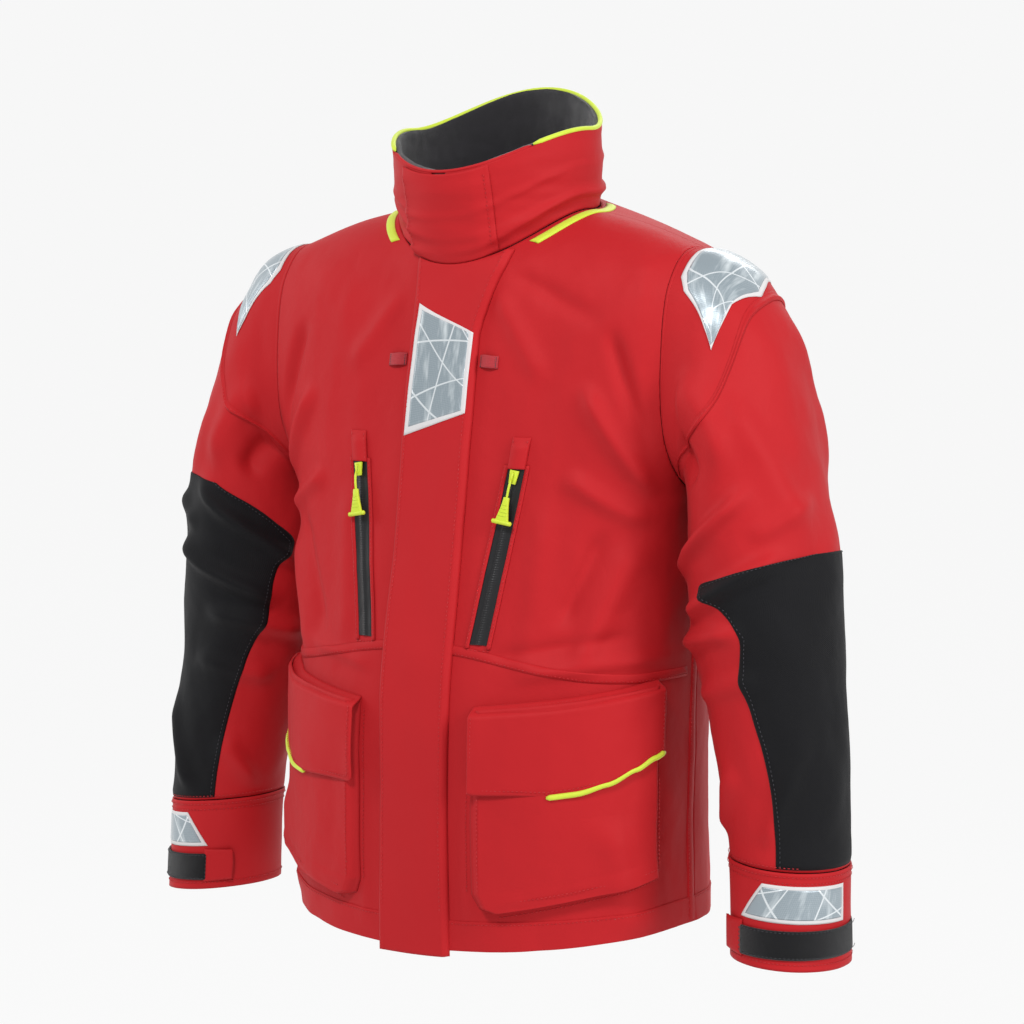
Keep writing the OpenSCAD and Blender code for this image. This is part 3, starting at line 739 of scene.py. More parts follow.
def block(name, points, faces, material, body, round_off=0.8, replaces=(), segments=3):
    """Small hard piece from its own corner points, with rounded edges."""
    bm = bmesh.new()
    verts = [bm.verts.new(Vector(point) * MM) for point in points]
    for face in faces:
        bm.faces.new([verts[i] for i in face])
    bmesh.ops.recalc_face_normals(bm, faces=bm.faces)
    if round_off:
        bmesh.ops.bevel(bm, geom=list(bm.edges) + list(bm.verts), offset=round_off * MM, segments=segments,
                        profile=0.5, affect="EDGES", material=-1)
    return finish_piece(name, mesh_from(bm, name), material, body, replaces)


BOX_FACES = [(0, 1, 3, 2), (4, 6, 7, 5), (0, 4, 5, 1), (2, 3, 7, 6), (0, 2, 6, 4), (1, 5, 7, 3)]


# ---------------------------------------------------------------- the light, the floor and the view
scene = bpy.context.scene
scene.view_settings.view_transform = "Standard"
camera = bpy.data.objects.new("camera", bpy.data.cameras.new("camera"))
scene.collection.objects.link(camera)
VIEW_POINT, VIEW_TARGET = (1.961, -3.019, 0.0), (0.0105, 0.0068, -0.339)


def aim(piece, spot, target):
    piece.location = spot
    piece.rotation_euler = (Vector(target) - Vector(spot)).to_track_quat("-Z", "Y").to_euler()


aim(camera, VIEW_POINT, VIEW_TARGET)
camera.data.lens = 121.7
camera.data.sensor_width = 36
scene.camera = camera

world = bpy.data.worlds.new("studio")
scene.world = world
world.use_nodes = True
world.node_tree.nodes["Background"].inputs[0].default_value = linear("#f7f7f7")
world.node_tree.nodes["Background"].inputs[1].default_value = 0.38


def light(name, spot, target, size, power):
    lamp = bpy.data.lights.new(name, "AREA")
    lamp.shape = "RECTANGLE"
    lamp.size, lamp.size_y = size
    lamp.energy = power
    piece = bpy.data.objects.new(name, lamp)
    aim(piece, spot, target)
    scene.collection.objects.link(piece)


light("key", (0.6, -3.0, 2.6), (0, 0, -0.3), (0.8, 0.8), 96)
light("side", (3.2, -0.4, 0.9), (0, 0, -0.35), (1.0, 2.2), 66)
light("left", (-3.0, -1.0, 0.9), (0, 0, -0.35), (1.0, 2.0), 30)
light("back", (-0.6, 2.8, 1.8), (0, 0, -0.3), (1.6, 1.2), 20)


def backdrop_paper():
    # Matt white background paper, lit on its own: it glows a little and reads as an even pale grey.
    material, tree, shader = surface_material("pale_backdrop_paper", "#f0f0f0", 0.9, Specular_IOR_Level=0.05)
    where = add(tree, "TexCoord").outputs["Object"]
    grain = add(tree, "TexNoise", Vector=where, Scale=300.0)
    bump(tree, shader, grain.outputs[0], 0.05, 0.0005)
    shader.inputs["Base Color"].default_value = linear("#404040")
    shader.inputs["Emission Color"].default_value = linear("#f6f6f6")
    shader.inputs["Emission Strength"].default_value = 0.97
    return material


def make_backdrop():
    """Paper that lies on the floor and sweeps up behind the jacket, in metres."""
    turn, floor, bend, half_width = math.radians(33), -1.35, 3, 12
    away = Vector((-math.sin(turn), math.cos(turn), 0))
    sideways = Vector((away.y, -away.x, 0))
    arc = [math.radians(6 * k) for k in range(16)]
    curve = [(bend + bend * math.sin(a), bend - bend * math.cos(a)) for a in arc]
    profile = [(-9, 0)] + curve + [(6, 10)]
    bm = bmesh.new()
    sweep = []
    for distance, rise in profile:
        middle = away * distance + Vector((0, 0, floor + rise))
        sweep.append([bm.verts.new(middle + sideways * side) for side in (-half_width, half_width)])
    for a, b in zip(sweep, sweep[1:]):
        bm.faces.new((a[0], a[1], b[1], b[0]))
    bmesh.ops.recalc_face_normals(bm, faces=bm.faces)
    bm.normal_update()
    bm.faces.ensure_lookup_table()
    if bm.faces[0].normal.z < 0:
        bmesh.ops.reverse_faces(bm, faces=bm.faces)
    mesh = mesh_from(bm, "backdrop")
    mesh.materials.append(backdrop_paper())
    backdrop = bpy.data.objects.new("backdrop", mesh)
    scene.collection.objects.link(backdrop)
    for face in mesh.polygons:
        face.use_smooth = True


make_backdrop()

# ---------------------------------------------------------------- body
BODY_STEPS = [HEM + 20 * k for k in range(32)] + [-118, -108, -100, -93, -87, -81]
BODY_STEPS += [-76, -71, -66, -61, -56, -51, -46, -41, -36, -31, -27, -23.3]
HEM_STEPS = (HEM - 0.5, HEM + 12, HEM + 26)
SHELL_SLOT = "red_shell"


def front_rows(inner, outer_angle, steps, side):
    if side > 0:
        return [[(front_angle(inner, v), v), (outer_angle, v)] for v in steps]
    return [[(-180 - outer_angle, v), (front_angle(-inner, v), v)] for v in steps]


def back_rows(steps):
    return [[(SIDE_SEAM, v), (180 - SIDE_SEAM, v)] for v in steps]


for side, word in SIDES:
    rows = front_rows(ZIP_GAP, SIDE_SEAM, BODY_STEPS, side)
    panel = laid("front_cloth_" + word, body_at, rows, 110, 240, 0, SHELL_WALL,
                 SHELL, "jacket", SHELL_SLOT, ("front_panel_" + word,), cut_at=SLEEVE_X - 0.5)
back = laid("back_cloth", body_at, back_rows(BODY_STEPS), 150, 220, 0, SHELL_WALL,
            SHELL, "jacket", SHELL_SLOT, ("back_panel",), cut_at=SLEEVE_X - 0.5)
lining_steps = [v for v in BODY_STEPS if -736 < v < -30]
lining_rows = [[(front_angle(24, v), v), (180 - front_angle(24, v), v)] for v in lining_steps]
lining = laid("lining_cloth", body_at, lining_rows, 130, 120, -5.5, 0.8,
              LINING, "jacket", "lining", ("body_lining",), cut_at=SLEEVE_X - 6)


def seam_strip(name, at, rows, up, rise):
    """Lapped seam: a thin fold over the join; rise is its edges' height and its middle's extra."""
    def height(p, q):
        return rise[0] + rise[1] * math.sin(math.pi * p)

    laid(name, at, rows, 6, up, height, 0.7, SHELL, "jacket", SHELL_SLOT, curved=True)


WAIST_SEAM = [(26, -463), (68, -468), (120, -478), (170, -487), (205, -490), (224, -489)]
SIDE_SEAM_STEPS = (HEM + 2, -700, -640, -560, -480, -420, -360, -312)
body_threads = []
for side, word in SIDES:
    at = front_at(side)
    rows = [[(x, z - 5), (x, z + 5)] for x, z in WAIST_SEAM]
    seam_strip("waist_seam_" + word, at, rows, 60, (0.5, 1.0))
    for a, b in zip(WAIST_SEAM, WAIST_SEAM[1:]):
        body_threads.append((at, (a[0], a[1] - 3), (b[0], b[1] - 3), 1.4))
    edge = SIDE_SEAM - 2.2 if side > 0 else 180 - SIDE_SEAM + 2.2
    rows = [[(edge - 1.6, v), (edge + 1.6, v)] for v in SIDE_SEAM_STEPS]
    seam_strip("side_seam_" + word, body_at, rows, 150, (0.4, 1.2))
    body_threads.append((body_at, (edge - 1, HEM + 5), (edge - 1, ARMHOLE_FOOT), 1.4))
    # hem: a band of doubled cloth round the bottom edge
    outer = SIDE_SEAM if side > 0 else -180 - SIDE_SEAM
    rows = [[(front_angle(side * 12, v), v), (outer, v)] for v in HEM_STEPS]
    laid("hem_band_" + word, body_at, rows, 90, 10, 0.9, 1.2, SHELL, "jacket", SHELL_SLOT, round_off=0.4)
    body_threads.append((at, (26, HEM + 23.5), (215, HEM + 23.5), 1.1))
laid("hem_band_back", body_at, back_rows(HEM_STEPS), 140, 10, 0.9, 1.2,
     SHELL, "jacket", SHELL_SLOT, round_off=0.4)
body_threads.append((body_at, (SIDE_SEAM, HEM + 23.5), (180 - SIDE_SEAM, HEM + 23.5), 1.1))
stitches("body_stitches", body_threads, THREAD_RED, "jacket")

LOOP_Y = 73
LOOP_OUTLINE = ((-34, -10), (-35, -1), (-30, 2), (0, 3), (30, 2), (35, -1), (34, -10))
swept_tube("hanging_loop_tape", [Vector((x, LOOP_Y, z)) for x, z in LOOP_OUTLINE], 2.6,
           TAPE_BLACK, "jacket", ("hanging_loop",), 8)

# ---------------------------------------------------------------- collar
COLLAR_TOP, COLLAR_OVERLAP = 57, (-85.5, 265.5)
COLLAR_STEPS = (-22.7, -10, 5, 20, 35, 48, COLLAR_TOP)
FLEECE_STEPS = (-22.7, -10, 5, 20, 35, 48, 55, 58)


def collar_rows(steps):
    return [[(COLLAR_OVERLAP[0], v), (COLLAR_OVERLAP[1], v)] for v in steps]


def inside_collar(u, v, height=0.0):
    """Point on the fleece, which is a little uneven."""
    p = collar_at(u, v, -5.2 + height)
    soft = 1.6 * noise.noise(p * 0.03) + 0.8 * noise.noise(p * 0.09)
    return collar_at(u, v, -5.2 + height + soft)


laid("collar_cloth", collar_at, collar_rows(COLLAR_STEPS), 200, 40, 0, 2.0,
     SHELL, "jacket", SHELL_SLOT, ("collar_outer",))
laid("collar_fleece", inside_collar, collar_rows(FLEECE_STEPS), 180, 36,
     lambda p, q: 1.4 * smooth(q * 6 - 5), 4.5,
     FLEECE, "jacket", "fleece", ("collar_lining",), round_off=1.6)
rim = [collar_at(u, COLLAR_TOP, -1.6) + Vector((0, 0, 1.5)) for u in range(-38, 229, 4)]
swept_tube("collar_rim_piping", rim, 2.5, BINDING, "jacket", ("collar_piping",))
front_rim = [collar_at(-90 + u, COLLAR_TOP, -1.8) + Vector((0, 0, 0.8)) for u in range(-42, 53, 3)]
swept_tube("collar_rim_fold", front_rim, 2.0, SHELL_STIFF, "jacket")
for side, word in SIDES:
    rows = []
    for u in (-48, -40, -30, -20, -10, 0, 10, 20, 34):
        top = -24.4 - 1.6 * math.sin(math.radians(u)) ** 2
        # the trim is 10 mm wide along the slope of the shoulder
        full = 10 / math.hypot(4.4 * math.cos(math.radians(u)), 1)
        rows.append([(u, top - full), (u, top)])
    if side < 0:
        rows = [[(180 - u, low), (180 - u, top)] for (u, low), (u, top) in reversed(rows)]
    laid("collar_base_trim_" + word, body_at, rows, 8, 60, 1.8, 1.6, BINDING, "jacket", "hi_vis",
         ("collar_seam_trim",), roll=1.2, curved=True)

tab_rows = [[(-116, v), (-62, v)] for v in (-22.6, 0, 20, 40, 56.5)]
laid("collar_tab_cloth", collar_at, tab_rows, 50, 40,
     lambda p, q: 2.6 + 3 * smooth((1 - p) * 5) - 1.8 * smooth(q * 4 - 3), 2.2,
     SHELL_STIFF, "collar_tab", SHELL_SLOT, ("collar_tab",), roll=0.8)
tab_threads = [(collar_at, (-65, -14), (-65, 50), 3.6), (collar_at, (-113, -14), (-113, 50), 7.0)]
stitches("collar_tab_stitches", tab_threads, THREAD_RED, "collar_tab")

# ---------------------------------------------------------------- main zip and storm flap
ZIP_FOOT = HEM + 12
ZIP_STEPS = [ZIP_FOOT + 36 * k for k in range(20)] + [-40]
TOOTH_COUNT, TOOTH_PITCH, TOOTH_SIZE = 228, 3.0, (4.4, 1.8, 1.7)


def zip_strip(half_width):
    return [[(front_angle(-half_width, z), z), (front_angle(half_width, z), z)] for z in ZIP_STEPS]


plain_body_at = lifted(body_base, lambda p, u, v: 0, 0.5)
laid("zip_guard_cloth", plain_body_at, zip_strip(18), 8, 60, -3.5, 0.8,
     SHELL, "jacket", "black_tape", ("zip_guard",))
laid("zip_tape_cloth", plain_body_at, zip_strip(7.6), 6, 60, -1.6, 0.8,
     TAPE_BLACK, "jacket", "black_tape", ("main_zip_tape",))
teeth = bmesh.new()
for k in range(TOOTH_COUNT):
    middle = body_base(-90, ZIP_FOOT + TOOTH_PITCH * k) + Vector((1.3 if k % 2 else -1.3, 0.4, 0))
    size = Matrix.Diagonal([*(length * MM for length in TOOTH_SIZE), 1])
    bmesh.ops.create_cube(teeth, size=1, matrix=Matrix.Translation(middle * MM) @ size)
finish_piece("zip_teeth", mesh_from(teeth, "zip_teeth"), ZIP_BLACK, "jacket",
             ("main_zip_chain",))
for node in ("main_zip_slider", "main_zip_pull"):
    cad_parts[node].material_slots[0].material = ZIP_BLACK


def flap_edge(z):
    """Distance of the flap's free edge from the middle: it widens towards the neck."""
    return FLAP_LEFT + 16 * max(0, 1 - (-z - 60) / 90) ** 1.5


FLAP_STEPS = [HEM - 5.5, HEM + 10] + [-716 + 30 * k for k in range(21)]
FLAP_STEPS += [-92, -76, -62, -50, -40, -32, -26]


def on_flap(x, z, height=0.0):
    """Point on the flap, which stands off along its free edge and is sewn down along the other."""
    p = (x + FLAP_RIGHT) / (FLAP_RIGHT + flap_edge(z))
    stand = 5.6 + 1.8 * math.sin(z * 0.023) * (1 - p) + 1.0 * noise.noise(Vector((p * 2, z * 0.02, 2)))
    return body_at(front_angle(x, z), z, 1.6 + stand * smooth((1 - p) * 16) + height)


flap_rows = [[(-FLAP_RIGHT, z), (flap_edge(z), z)] for z in FLAP_STEPS]
flap = laid("storm_flap_cloth", on_flap, flap_rows, 44, 260, 0, 2.0, SHELL_STIFF,
            None, SHELL_SLOT, ("storm_flap", "storm_flap_edge"), roll=0.8)
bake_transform(flap)
flap_threads = []
for a, b in zip(FLAP_STEPS[2:], FLAP_STEPS[3:]):
    flap_threads.append((on_flap, (flap_edge(a) - 7.5, a), (flap_edge(b) - 7.5, b), 0.15))
    flap_threads.append((on_flap, (4 - FLAP_RIGHT, a), (4 - FLAP_RIGHT, b), 0.15))
flap_thread = stitches("storm_flap_stitches", flap_threads, THREAD_RED, None)
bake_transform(flap_thread)


def reflector(name, at, rows, across, up, height, body, node, border=5.0):
    """Welded film patch: a white border with the prismatic film set inside it."""
    laid(name + "_border", at, rows, across, up, height, 0.8,
         BORDER, body, "reflective_tape", (node,), roll=0.5)
    across_inset = border / path_length([at(*spot_between(rows, k / 8, 0.5)) for k in range(9)])
    up_inset = border / path_length([at(*spot_between(rows, 0.5, k / 8)) for k in range(9)])
    inner = []
    for k in range(13):
        q = up_inset + (1 - 2 * up_inset) * k / 12
        inner.append([spot_between(rows, across_inset, q), spot_between(rows, 1 - across_inset, q)])
    laid(name + "_film", at, inner, across, up, height + 0.35, 0.6,
         PRISM, body, "reflective_tape", (node,), roll=0.3)


reflector("flap_patch", on_flap, [[(-35, -254), (36, -229)], [(-31, -92), (38, -143)]], 30, 50, 0.9,
          "storm_flap", "flap_reflector")

LANYARD_ROWS = [
    [(45, -184), (45, -171)], [(52, -184.5), (52, -171)], [(60, -185), (60, -172)], [(67, -185), (67, -172)]]
loop_tacks = []
for side, word in SIDES:
    at = front_at(side)
    laid("lanyard_loop_" + word, at, LANYARD_ROWS, 8, 20, lambda p, q: 1.0 + 3.4 * math.sin(math.pi * q), 1.0,
         TAPE_RED, "jacket", SHELL_SLOT, ("lanyard_loops",), roll=0.3)
    loop_tacks.append((at, (65, -184), (65, -173), 2.0))
    loop_tacks.append((at, (63.5, -173), (63.5, -184), 2.3))
    loop_tacks.append((at, (47, -184), (47, -173), 2.0))
stitches("loop_bar_tacks", loop_tacks, THREAD_BLACK, "jacket", 1.6, 1.8)


# ---------------------------------------------------------------- chest pockets
def chest_x(drop):
    """Distance of a chest zip's line from the middle: it leans in towards its foot."""
    return CHEST_X_TOP + (CHEST_X_BOTTOM - CHEST_X_TOP) * (drop - CHEST_TOP) / (CHEST_BOTTOM - CHEST_TOP)


def chest_rows(start, end, width, count):
    drops = [start + (end - start) * k / count for k in range(count + 1)]
    return [[(chest_x(d) - width / 2, -d), (chest_x(d) + width / 2, -d)] for d in drops]


def coil(p, q):
    """Film height over the zip: a ridge along its middle, ribbed by the coil beneath."""
    ridge = math.exp(-((p - 0.5) / 0.14) ** 2)
    return 1.1 + (1.1 + 0.22 * math.sin(q * 2 * math.pi * 74)) * ridge


def chest_zip(at, word):
    film_rows = chest_rows(CHEST_BOTTOM, CHEST_TOP, CHEST_WIDTH, 10)
    laid("chest_zip_film_" + word, at, film_rows, 16, 296, coil, 0.7,
         ZIP_FILM, "jacket", "coated_zip", ("chest_zip_" + word,))
    for edge, name in ((-1, "inner"), (1, "outer")):
        rows = []
        for row in chest_rows(CHEST_BOTTOM + 4, CHEST_TOP - 2, CHEST_WIDTH, 10):
            x, z = row[0] if edge < 0 else row[1]
            rows.append([(x + min(0, edge * 5), z), (x + max(0, edge * 5), z)])
        laid("chest_zip_%s_welt_%s" % (name, word), at, rows, 6, 60,
             lambda p, q: 0.8 + 1.2 * math.sin(math.pi * p), 0.7, SHELL_STIFF, "jacket", SHELL_SLOT)
    laid("zip_hood_" + word, at, chest_rows(CHEST_TOP + 2, CHEST_TOP - 30, CHEST_WIDTH + 2, 3), 18, 30,
         lambda p, q: 1.4 + 4.2 * math.sin(math.pi * p) ** 0.6 * (1 - smooth(q * 2.5 - 1.5)), 1.4,
         SHELL_STIFF, "jacket", SHELL_SLOT, ("zip_garage_" + word,), roll=0.6)

    def thread(across_start, drop_start, across_end, drop_end, height):
        """One row of stitches, by its ends' distances from the zip's line and their drops."""
        start, end = chest_x(drop_start) + across_start, chest_x(drop_end) + across_end
        return (at, (start, -drop_start), (end, -drop_end), height)

    foot_start = (chest_x(CHEST_BOTTOM) - 13, -CHEST_BOTTOM - 5)
    foot_end = (chest_x(CHEST_BOTTOM) + 13, -CHEST_BOTTOM - 6)
    stitches("chest_stitches_" + word, [
        thread(-8, CHEST_TOP - 28, -8, CHEST_TOP, 3.0), thread(8, CHEST_TOP - 28, 8, CHEST_TOP, 3.0),
        thread(-12, CHEST_TOP, -12, CHEST_BOTTOM, 2.1), thread(12, CHEST_TOP, 12, CHEST_BOTTOM, 2.1),
        (at, foot_start, foot_end, 1.0)], THREAD_RED, "jacket")


def chest_slider(at, word):
    """Slider at the top of its zip and the pull that hangs from it, in the zip's own directions."""
    start = at(chest_x(CHEST_TOP + 10), -CHEST_TOP - 10, 3.6)
    end = at(chest_x(CHEST_BOTTOM - 12), -CHEST_BOTTOM + 12, 3.6)
    down = (end - start).normalized()
    outward = (at(84, -370, 1) - at(84, -370, 0)).normalized()
    across = down.cross(outward).normalized()
    outward = across.cross(down)

    def place(a, b, c):
        return start + across * a + down * b + outward * c

    slider, pull = "chest_slider_" + word, "chest_pull_" + word
    wedge = [place(a, b, c) for half_top, half_foot in ((-5, -3.6), (5, 3.6))
             for a, b in ((half_top, -7), (half_foot, 7)) for c in (-1.2, 1.4)]
    block(slider + "_body", wedge, BOX_FACES, PULL_YELLOW, slider, 0.7, (slider,))
    bridge = [place(0, b, c) for b, c in ((-5, 1.3), (-3.5, 3.4), (0, 3.9), (3.5, 3.4), (5, 1.3))]
    swept_tube(slider + "_bridge", bridge, 1.0, PULL_YELLOW, slider)
    cord = [place(0, b, c) for b, c in ((2, 4.4), (8, 5.4), (14, 5.6), (20, 5.2), (25, 5.2))]
    swept_tube(pull + "_cord", cord, 1.3, PULL_YELLOW, pull, (pull,))
    grip_half = [(3.0, 21), (3.4, 27), (4.6, 34), (6.8, 44), (7.2, 46.5)]
    grip = [(-3.0, 21)] + grip_half + [(-a, b) for a, b in reversed(grip_half[1:])]
    ends = [tuple(range(10)), tuple(reversed(range(10, 20)))]
    walls = [(k, (k + 1) % 10, (k + 1) % 10 + 10, k + 10) for k in range(10)]
    block(pull + "_grip", [place(a, b, c) for c in (3.6, 6.8) for a, b in grip], ends + walls,
          PULL_YELLOW, pull, 0.8)
    swept_tube(pull + "_crossbar", [place(a, 46.5, 5.2) for a in (-11, -10, -6, 0, 6, 10, 11)], 2.3,
               PULL_YELLOW, pull, sides=14)
    for k in range(4):
        half, down_at = 3.0 + 0.8 * k, 29 + 3.6 * k
        rib = [place(a * half, down_at, 6.9) for a in (-1, -0.8, 0, 0.8, 1)]
        swept_tube("%s_rib_%d" % (pull, k), rib, 0.5, PULL_YELLOW, pull, sides=8)


for side, word in SIDES:
    chest_zip(front_at(side), word)
    chest_slider(front_at(side), word)

# ---------------------------------------------------------------- cargo pockets
# front edge and drop of the pocket's outline, from its rounded foot to its top
POCKET_EDGE = [
    (0.10, POCKET_HEIGHT), (0.03, POCKET_HEIGHT - 7), (0, POCKET_HEIGHT - 20), (0, 120), (0, 60), (0, 2)]
# place across and drop of the flap's lower edge, from the front to the side
FLAP_LOW = [
    (0.0, 83), (0.03, 87), (0.2, 90), (0.36, 94), (0.5, 94), (0.66, 89), (0.82, 80), (0.94, 73), (1.0, 70)]
PIPING_START = 0.36


def pocket_at(side):
    """Pocket coordinates: 0 to 1 from the front edge to the side edge, and the drop below its top."""
    def at(s, drop, height=0.0):
        z = -POCKET_TOP - drop
        u = front_angle(POCKET_FRONT_X, z) * (1 - s) + POCKET_SIDE_ANGLE * s
        v = z + POCKET_SIDE_RISE * s
        return body_at(u if side > 0 else 180 - u, v, height)
    return at


def pouch_for(side):
    def pouch(p, q):
        """Rise of the pocket's cloth: it stands out like a shallow box with soft sides."""
        edge = min(p, 1 - p) * 190
        rise = smooth(edge / 9) * smooth(q * POCKET_HEIGHT / 9)
        soft = 1.5 * math.sin(p * 9 + 1) * math.sin(q * 5 + 0.6)
        soft += 0.9 * noise.noise(Vector((p * 5, q * 6, side)))
        return 1.0 + (11.0 + soft) * rise
    return pouch


def flap_lie(up, along):
    """Sewn down along its top, then out over the pocket; its free edge lifts a little."""
    down = (1 - up) * 88
    ripple = 1.2 * math.sin(along * 11 + 0.5) * (1 - up)
    return 1.6 + 13.2 * smooth(down / 12) + ripple - 1.6 * smooth((1 - along) * 16 - 15)


def flap_drop(s):
    """Drop of the piping, just below the flap's lower edge."""
    for (a, da), (b, db) in zip(FLAP_LOW, FLAP_LOW[1:]):
        if a <= s <= b:
            return da + (db - da) * smooth((s - a) / (b - a)) + 1.0
    return FLAP_LOW[-1][1]


def inset(s):
    return max(0.015, min(0.985, s))


for side, word in SIDES:
    at = pocket_at(side)
    rows = [[(front, drop), (1.0, drop)] for front, drop in POCKET_EDGE]
    if side < 0:
        rows = [[b, a] for a, b in rows]
    laid("pocket_cloth_" + word, at, rows, 90, 100, pouch_for(side), 1.4, SHELL, "jacket", SHELL_SLOT,
         ("cargo_pocket_" + word,))
    stitches("pocket_stitches_" + word, [
        (at, (0.045, 90), (0.045, 176), 12.6), (at, (0.10, 188), (0.96, 188), 12.6),
        (at, (0.97, 96), (0.97, 184), 12.2), (at, (-0.02, 10), (-0.02, 176), 0.9),
        (at, (0.12, 202), (1.0, 202), 0.9), (at, (1.02, 10), (1.02, 196), 0.9)],
             THREAD_RED, "jacket")
    body = "pocket_flap_" + word
    rows = [[(s, d), (s, -2)] for s, d in FLAP_LOW]
    if side < 0:
        rows.reverse()
    laid("pocket_flap_cloth_" + word, at, rows, 44, 96, flap_lie, 1.8, SHELL_STIFF, body, SHELL_SLOT, (body,),
         roll=0.8, curved=True)
    threads = []
    for a, b in zip(FLAP_LOW, FLAP_LOW[1:]):
        threads.append((at, (inset(a[0]), a[1] - 5), (inset(b[0]), b[1] - 5), 15.3))
    threads += [(at, (0.01, 1.5), (0.99, 1.5), 3.6), (at, (0.01, 8), (0.99, 8), 11.6)]
    threads += [(at, (0.018, 8), (0.018, 80), 15.2), (at, (0.982, 8), (0.982, 74), 15.2)]
    stitches("pocket_flap_stitches_" + word, threads, THREAD_RED, body)
    places = [PIPING_START + (1 - PIPING_START) * k / 40 for k in range(41)]
    swept_tube("pocket_flap_piping_" + word, [at(s, flap_drop(s), 13.6) for s in places], 3.0, BINDING, body,
               ("flap_piping_" + word,))

# ---------------------------------------------------------------- sleeves
# patches on a sleeve, by angle round it and position along it; each row is two facing edges
ELBOW_ROWS = {
    "left": [
        [(-72, -9.97), (70, -9.97)], [(-71, -9.3), (77, -9.3)], [(-72, -8.75), (84, -8.8)],
        [(-75, -8.2), (90, -8.3)], [(-80, -7.75), (95, -7.9)], [(-85, -7.3), (105, -7.4)],
        [(-80, -6.7), (108, -6.8)], [(-92, -6.25), (110, -6.4)], [(-112, -5.85), (110, -6.1)],
        [(-90, -5.7), (98, -5.85)], [(-60, -5.57), (70, -5.65)], [(-16, -5.5), (26, -5.52)]],
    "right": [
        [(-116, -9.97), (26, -9.97)], [(-117, -9.3), (32, -9.3)], [(-119, -8.7), (38, -8.7)],
        [(-123, -8.1), (44, -8.2)], [(-128, -7.6), (48, -7.7)], [(-138, -7.0), (56, -7.1)],
        [(-139, -6.55), (60, -6.6)], [(-145, -6.0), (62, -6.2)], [(-158, -5.55), (62, -5.85)],
        [(-144, -5.15), (54, -5.5)], [(-122, -4.75), (34, -5.1)], [(-90, -4.5), (-2, -4.8)]],
}
SHOULDER_ROWS = [
    [(-61, -1.64), (-58.5, -1.62)], [(-57, -1.2), (-46, -1.54)], [(-52, -0.8), (-34, -1.45)],
    [(-47, -0.4), (-20, -1.55)], [(-40, -0.22), (-7, -1.66)], [(-16, -0.22), (12, -1.35)],
    [(6, -0.24), (30, -1.1)], [(22, -0.3), (42, -0.9)]]
SHOULDER_SEAM = [
    (60, -1.3), (24, -1.55), (-6, -1.72), (-30, -1.85), (-52, -2.25), (-72, -2.5), (-90, -2.5),
    (-108, -2.1), (-128, -1.4), (-148, -0.7)]
SLEEVE_STEPS = [-10 + 0.5 * k for k in range(21)]
CUFF_STEPS = (-10.8, -10.6, -10.4, -10.2)


def around(steps):
    return [[(-180, v), (180, v)] for v in steps]


def sleeve_shell(at, word, body):
    """Cloth and lining of the sleeve, laid round it and not attached to any moving part."""
    cloth = laid("sleeve_cloth_" + word, at, around(SLEEVE_STEPS), 150, 170, 0, SHELL_WALL,
                 SHELL, None, SHELL_SLOT, (body,), closed=True)
    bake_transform(cloth)
    inside = laid("sleeve_lining_" + word, at, around(SLEEVE_STEPS), 60, 60, -4.5, 0.6,
                  LINING, None, "lining", closed=True)
    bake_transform(inside)


def elbow(at, word, body):
    rows = ELBOW_ROWS[word]
    laid("elbow_cloth_" + word, at, rows, 90, 110, 1.3, 1.0,
         ELBOW, body, "reinforcement", ("elbow_panel_" + word,), roll=0.9, curved=True)
    threads = []
    for (a, b), (c, d) in zip(rows, rows[1:]):
        threads.append((at, (a[0] + 4, a[1]), (c[0] + 4, c[1]), 1.7))
        threads.append((at, (b[0] - 4, b[1]), (d[0] - 4, d[1]), 1.7))
    stitches("elbow_stitches_" + word, threads, THREAD_BLACK, body)


def shoulder(at, word, body):
    """Reflective patch, the dropped shoulder's lapped seam and the strip over the armhole's join."""
    reflector("shoulder_patch_" + word, at, SHOULDER_ROWS, 40, 60, 1.2, body, "shoulder_reflector_" + word)
    rows = [[(u, v - 0.09), (u, v + 0.09)] for u, v in SHOULDER_SEAM]
    laid("shoulder_seam_" + word, at, rows, 8, 110,
         lambda p, q: 0.4 + 2.4 * math.exp(-((p - 0.35) / 0.25) ** 2), 0.7,
         SHELL, body, SHELL_SLOT, curved=True)
    spots = [(u, v - 0.03) for u, v in SHOULDER_SEAM]
    threads = [(at, a, b, 1.9) for a, b in zip(spots, spots[1:])]
    stitches("shoulder_stitches_" + word, threads, THREAD_RED, body)
    laid("armhole_seam_" + word, at, around((-0.075, -0.05, -0.02, 0)), 150, 5,
         lambda p, q: 0.15 + 0.3 * math.sin(math.pi * q), 0.4, SHELL, "jacket", SHELL_SLOT, closed=True)


def cuff_height(p, q):
    """The cuff's cloth swells where it is turned in at the wrist and where it meets the sleeve."""
    return 0.8 + 0.9 * math.exp(-((q - 0.97) / 0.04) ** 2) + 0.7 * math.exp(-(q / 0.12) ** 2)


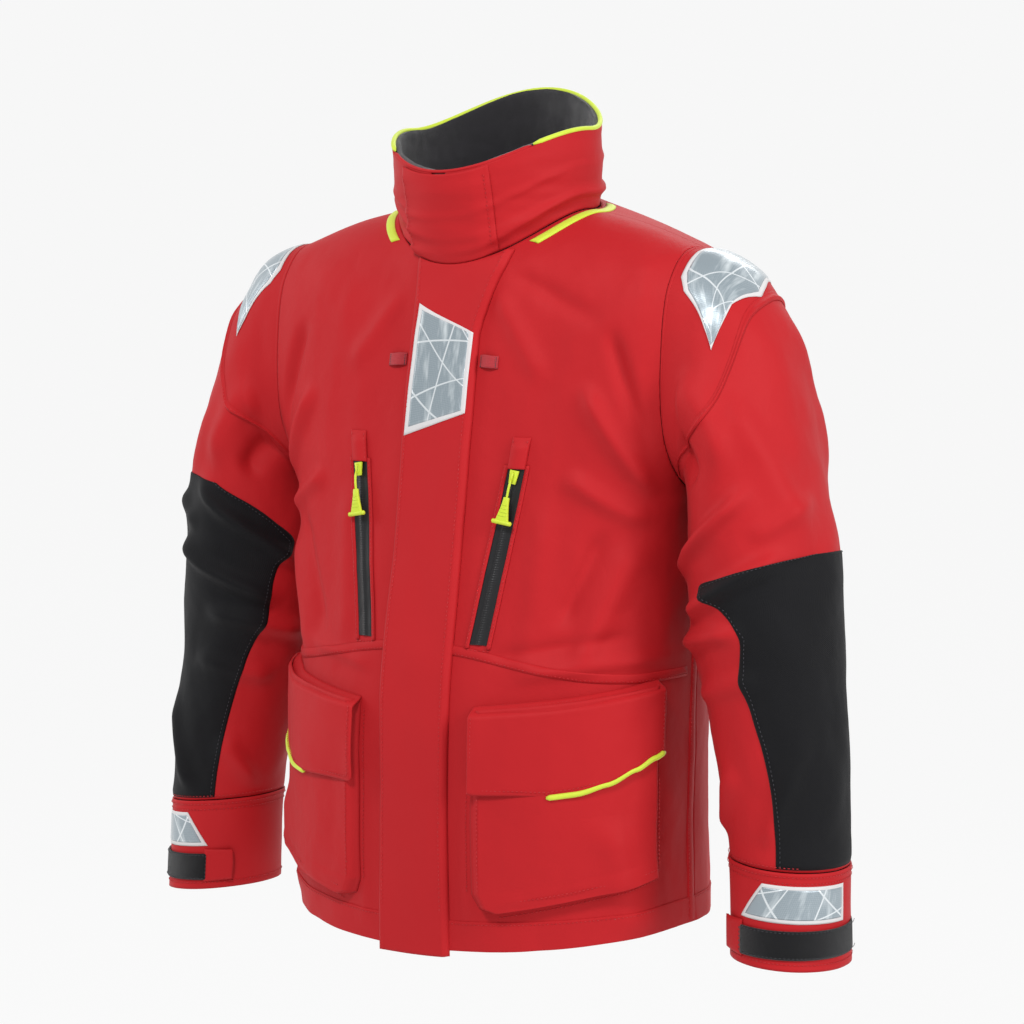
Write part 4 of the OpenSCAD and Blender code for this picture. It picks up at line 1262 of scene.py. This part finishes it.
def cuff(at, word, body):
    laid("cuff_cloth_" + word, at, around((-11, *CUFF_STEPS, -10.01)), 120, 34, cuff_height, 2.4,
         SHELL_STIFF, body, SHELL_SLOT, ("cuff_" + word,), closed=True)
    laid("inner_cuff_" + word, at, around((-10.94, *CUFF_STEPS, -10.0)), 60, 20, -6, 0.8,
         LINING, body, "lining", closed=True)
    stitches("cuff_stitches_" + word, [
        (at, (-180, -10.06), (180, -10.06), 2.2), (at, (-180, -10.13), (180, -10.13), 1.4),
        (at, (-180, -10.93), (180, -10.93), 1.9), (at, (-180, -9.95), (-50, -9.95), 1.1)],
             THREAD_RED, body)
    rows = [[(-112, -10.54), (0, -10.54)], [(-86, -10.16), (0, -10.16)]]
    reflector("cuff_patch_" + word, at, rows, 60, 24, 1.8, body, "cuff_reflector_" + word, 4.0)


def cuff_tab(at, word):
    """Hook-and-loop strap round the cuff, with the short cloth grip at its free end."""
    body = "cuff_tab_" + word
    rows = [[(-112, -10.9), (35, -10.86)], [(-112, -10.62), (35, -10.58)]]
    laid("cuff_loop_strap_" + word, at, rows, 80, 14, lambda p, q: 1.6 + 2.2 * smooth((1 - p) * 7), 1.8,
         PILE, body, "hook_and_loop", ("cuff_strap_" + word,), roll=0.8)
    rows = [
        [(-137, -10.9), (-109, -10.92)], [(-138, -10.74), (-109, -10.74)], [(-137, -10.59), (-109, -10.57)]]
    laid("cuff_tab_cloth_" + word, at, rows, 20, 16, lambda p, q: 3.4 + 3.0 * (1 - p) ** 2, 2.2,
         SHELL_STIFF, body, SHELL_SLOT, (body,), roll=0.9, curved=True)
    stitches("cuff_strap_stitches_" + word, [
        (at, (-110, -10.88), (32, -10.84), 4.0), (at, (-110, -10.64), (32, -10.6), 4.0),
        (at, (-111, -10.88), (-111, -10.63), 4.6)], THREAD_BLACK, body)


for side, word in SIDES:
    at = sleeve_for(side)
    body = "sleeve_" + word
    sleeve_shell(at, word, body)
    elbow(at, word, body)
    shoulder(at, word, body)
    cuff(at, word, body)
    cuff_tab(at, word)
